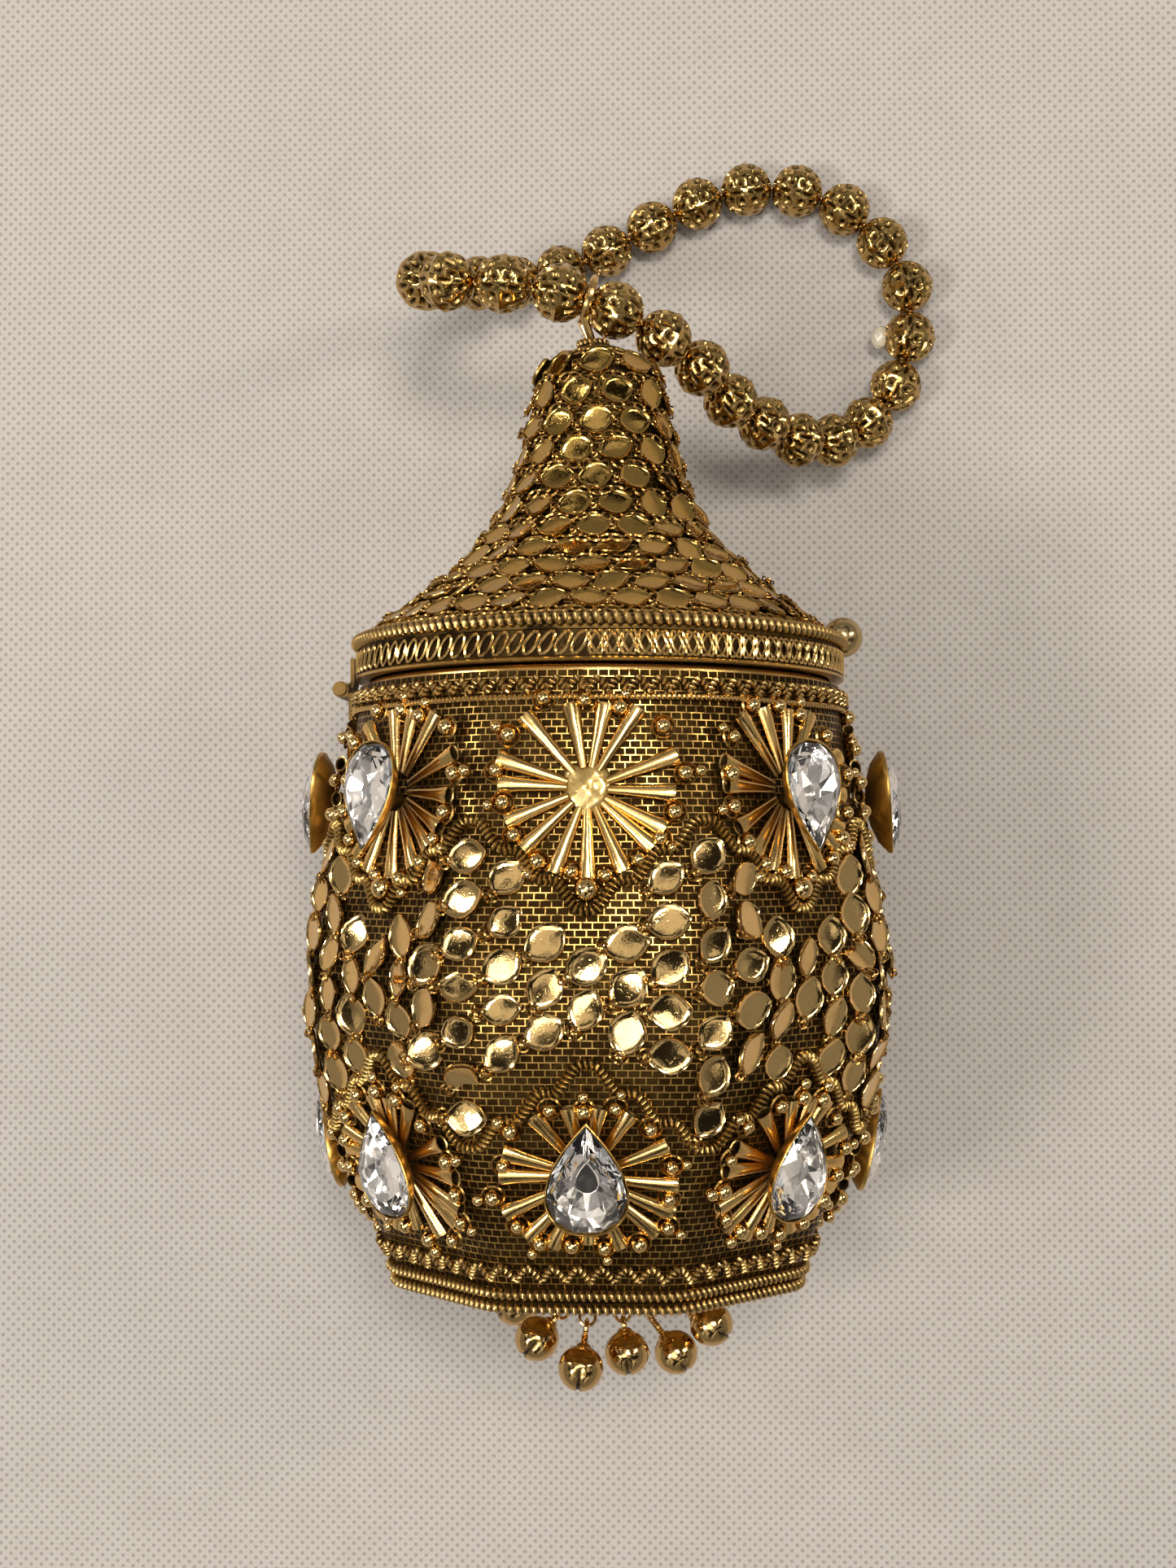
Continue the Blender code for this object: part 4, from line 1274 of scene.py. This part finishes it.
def make_base():
    """The bottom plate, a domed boss on it, wire rings and six eyelets."""
    outline = body_skin(round_angles(96), BODY_BASE) * [1, 1, 0]
    rows = [outline * share + [0, 0, BODY_BASE + rise] for share, rise in PLATE_RINGS]
    plate = facing_out(grid_shape(np.array(rows), recess=0.15))
    make_piece("bottom_plate", plate, PLATE_METAL, "base_plate")

    section = np.array(BOSS_SECTION) + [0, BODY_BASE, 0]
    parts = [turned(section, 64, row_loop=False)]
    for reach, rise in ((9.2, -1.2), (21.0, -0.1), (30.0, -0.1)):
        line = about_axis(reach, round_angles(80), BODY_BASE + rise)
        parts.append(coil(line, -LIDWARD, 0.7))
    for eyelet, _, hang, axis in hung_bells():
        axes = np.stack([hang, axis, np.cross(hang, axis)], -1)
        parts.append(copies(wire_ring(RING_RADIUS, 0.35, 20, 6), eyelet, axes))
    make_piece("bottom_boss", join(*parts), WIRE_METAL, "base_boss")


# ---- mouth, linings, hinge and clasp -----------------------------------------
MOUTH_SECTION = (  # radius, z, recess
    (43.8, -5.0, 0.1),
    (43.8, 0.7, 0.1),
    (44.1, 1.15, 0.1),
    (44.8, 1.2, 0.1),
    (45.2, 0.9, 0.1),
    (45.4, 0.4, 0.1),
    (45.4, -5.0, 0.1),
)


def make_mouth():
    make_piece("mouth_ring", turned(MOUTH_SECTION), SMOOTH_GOLD, "mouth_frame")


LINING_TOP = -5.6
LINING_BOTTOM = BODY_BASE + 2.6
LINING_FLOOR = ((0.9, 0.0), (0.5, 0.2), (0.04, 0.4))  # share of the outline, rise


def make_linings():
    """Cloth that follows the inside in shallow pleats, closed by a flat bottom."""
    turn = round_angles(192)[None]
    z = np.linspace(LINING_TOP, LINING_BOTTOM, 40)[:, None]
    share = (z - LINING_TOP) / (LINING_BOTTOM - LINING_TOP)
    pleat = 0.35 * np.cos(48 * turn) * np.sin(np.pi * share) ** 2
    outer = body_skin(turn, z, -2.1 + pleat)
    inner = body_skin(turn, z[::-1], -2.6 + pleat[::-1])
    inner[:, :, 2] = np.maximum(inner[:, :, 2], LINING_BOTTOM + 0.5)
    flat = outer[-1] * [1, 1, 0]
    bottom = np.array([flat * part + [0, 0, LINING_BOTTOM + rise] for part, rise in LINING_FLOOR])
    under = bottom[::-1] * [0.98, 0.98, 1] + [0, 0, 0.5]
    shape = facing_out(grid_shape(np.concatenate([under, inner, outer, bottom])))
    make_piece("body_cloth", shape, SATIN, "body_lining")
    spots = np.linspace(5.6, LID_TOP - 4.0, 40)[:, None]
    low = lid_skin(turn, spots, -1.5)
    high = lid_skin(turn, spots[::-1], -2.2 + 0.15 * np.cos(36 * turn))
    shape = facing_out(grid_shape(np.concatenate([high, low])))
    make_piece("lid_cloth", shape, SATIN, "lid_lining", "lid")


BALL_CENTRE = (47.6, 0.0, 10.4)
BALL_RADIUS = 3.95


def make_clasp():
    """A brushed ball with fine turning lines; the tongue keeps the CAD's shape."""
    a = round_angles(48)[None]
    v = np.linspace(0.05, math.pi - 0.05, 30)[::-1, None]
    reach = BALL_RADIUS * (1 - 0.004 * np.cos(v * 40))
    points = stacked(np.cos(v), np.sin(v) * np.cos(a), np.sin(v) * np.sin(a)) * reach[..., None]
    knob = facing_out(grid_shape(points))
    knob = knob._replace(points=knob.points + np.array(BALL_CENTRE))
    make_piece("clasp_knob", knob, BALL_METAL, "clasp_ball", "clasp")


def dress_cad_nodes():
    """Real finishes for the CAD nodes that stay in view."""
    for name, material in (
        ("clasp_tongue", SMOOTH_GOLD),
        ("hinge_leaf_body", HINGE_METAL),
        ("hinge_leaf_lid", HINGE_METAL),
        ("hinge_pin", HINGE_METAL),
    ):
        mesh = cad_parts[name].data
        mesh.materials.clear()
        mesh.materials.append(material)


# ---- stage -------------------------------------------------------------------
CLOTH_REACH = 1.6
CLOTH_STEPS = 161


def make_stage():
    """A broad pale cloth with slow, shallow waves away from the bag."""
    x = np.linspace(-CLOTH_REACH, CLOTH_REACH, CLOTH_STEPS)[None]
    y = x.T
    far = np.clip((np.hypot(x, y) - 0.25) / 0.3, 0, 1)
    z = -0.0004 * far * (1 + np.sin(23 * x + 4 * np.sin(9 * y)))
    mesh = bpy.data.meshes.new("cloth_floor")
    faces = grid_faces(CLOTH_STEPS, CLOTH_STEPS, False, False)
    mesh.from_pydata(stacked(x, y, z).reshape(-1, 3).tolist(), [], faces.tolist())
    mesh.shade_smooth()
    mesh.materials.append(cloth())
    add_object("cloth_floor", mesh)


LIGHTS = (  # name, place, size, power, tint
    ("window", (-0.70, -0.26, 1.08), (0.26, 0.26), 7.6, (1.0, 0.98, 0.96)),
    ("softbox", (-0.25, -0.15, 1.35), (0.60, 0.50), 3.2, (1.0, 0.98, 0.95)),
    ("ceiling", (0.15, 0.25, 1.2), (0.34, 0.24), 8.4, (1.0, 0.96, 0.91)),
    ("right_glint", (0.8, 0.3, 0.7), (0.10, 0.40), 2.4, (1.0, 0.93, 0.82)),
    ("left_glint", (-0.9, 0.4, 0.45), (0.10, 0.40), 2.4, (1.0, 0.96, 0.9)),
)


def area_light(name, place, size, power, tint):
    data = bpy.data.lights.new(name, "AREA")
    data.shape = "RECTANGLE"
    data.size, data.size_y = size
    data.energy = power
    data.color = tint
    lamp = add_object(name, data)
    lamp.location = place
    lamp.rotation_euler = (-Vector(place)).to_track_quat("-Z", "Y").to_euler()


HORIZON = 0.28  # strength of the plain walls
PATCH = 0.80  # strength of the bright patches overhead


def make_light():
    """One window at the left, soft fills, plain pale walls and a patchy ceiling."""
    bpy.context.scene.view_settings.view_transform = "Standard"
    world = bpy.context.scene.world or bpy.data.worlds.new("room")
    bpy.context.scene.world = world
    world.use_nodes = True
    n = Nodes(world.node_tree)
    sky = world.node_tree.nodes["Background"]
    around = n.add("ShaderNodeTexCoord").outputs["Generated"]
    patches = n.ramp(n.noise(around, 3.3, 2.0), 0.47, 0.58)
    sky.inputs["Color"].default_value = (1.0, 0.97, 0.93, 1.0)
    overhead = n.ramp(n.split(around)["Z"], 0.30, 0.50)
    patchy = n.maths("SUBTRACT", n.maths("MULTIPLY", patches, PATCH), HORIZON - 0.015)
    n.put(sky.inputs["Strength"], n.maths("MULTIPLY_ADD", overhead, patchy, HORIZON))
    for light in LIGHTS:
        area_light(*light)


# ---- everything --------------------------------------------------------------
make_camera()
GRIME_AND_SHADE = grime_and_shade_group()
AROUND = around_group()
BODY_GROUND = mesh_ground("body mesh", 164, 0.00125)
LID_GROUND = mesh_ground("lid mesh", 84, 0.00125)
WIRE_METAL = grimy_shaded_metal("coiled wire", PALE_GOLD, BROWN, 0.18, 0.20)
ROPE_METAL = grimy_shaded_metal("zigzag wire", (0.62, 0.39, 0.12, 1.0), BROWN, 0.2, 0.22)
RAY_METAL = grimy_shaded_metal("bugle rays", PALE_GOLD, BROWN, 0.14, 0.18)
CURL_METAL = grimy_shaded_metal("curled wire", (0.38, 0.215, 0.06, 1.0), BROWN, 0.3, 0.24)
PEARL_METAL = grimy_shaded_metal("gold pearls", (0.73, 0.49, 0.19, 1.0), BROWN, 0.12, 0.12)
MIRROR_GOLD = grimy_shaded_metal("petal mirror", (0.80, 0.525, 0.205, 1.0), BROWN, 0.14, 0.08)
LID_MIRROR = grimy_shaded_metal("lid petals", (0.53, 0.32, 0.085, 1.0), BROWN, 0.2, 0.09)
BEAD_METAL = grimy_shaded_metal("bead gold", (0.54, 0.345, 0.115, 1.0), BROWN, 0.12, 0.13)
CUP_METAL = grimy_shaded_metal("cup metal", (0.56, 0.33, 0.08, 1.0), (0.03, 0.016, 0.006, 1.0), 0.25, 0.25)
FRAME_METAL = grimy_shaded_metal("rim metal", GOLD, (0.02, 0.011, 0.004, 1.0), 0.2, 0.25)
SMOOTH_GOLD = grimy_shaded_metal("smooth gold", PALE_GOLD, BROWN, 0.15, 0.22)
PLATE_METAL = grimy_shaded_metal("plate metal", GOLD, BROWN, 0.4, 0.3)
BELL_METAL = grimy_shaded_metal("bell gold", (0.58, 0.37, 0.14, 1.0), (0.03, 0.02, 0.007, 1.0), 0.06, 0.12)
BALL_METAL = grimy_shaded_metal("brushed brass", (0.50, 0.36, 0.165, 1.0), (0.26, 0.17, 0.07, 1.0), 0.2, 0.2)
HINGE_METAL = grimy_shaded_metal("hinge metal", (0.12, 0.07, 0.022, 1.0), BROWN, 0.3, 0.42)
DARK_METAL = grimy_shaded_metal("strand wire", (0.40, 0.24, 0.08, 1.0), BROWN, 0.3, 0.35)
CRYSTAL = crystal_glass()
FOIL = foil()
SATIN = satin()
GLUE = dried_glue("dried glue", (0.20, 0.115, 0.02, 1.0), (0.62, 0.43, 0.14, 1.0), 0.0, 0.55)
CLEAR_GLUE = dried_glue("clear glue", (0.75, 0.68, 0.50, 1.0), (0.93, 0.86, 0.70, 1.0), 0.6)

make_strand()
make_body()
make_body_wires()
make_petals()
make_rosettes()
make_stones()
make_glue_pad()
make_lid()
make_lid_petals()
make_lid_frame()
make_bail()
make_bells()
make_base()
make_mouth()
make_linings()
make_clasp()
dress_cad_nodes()
make_stage()
make_light()
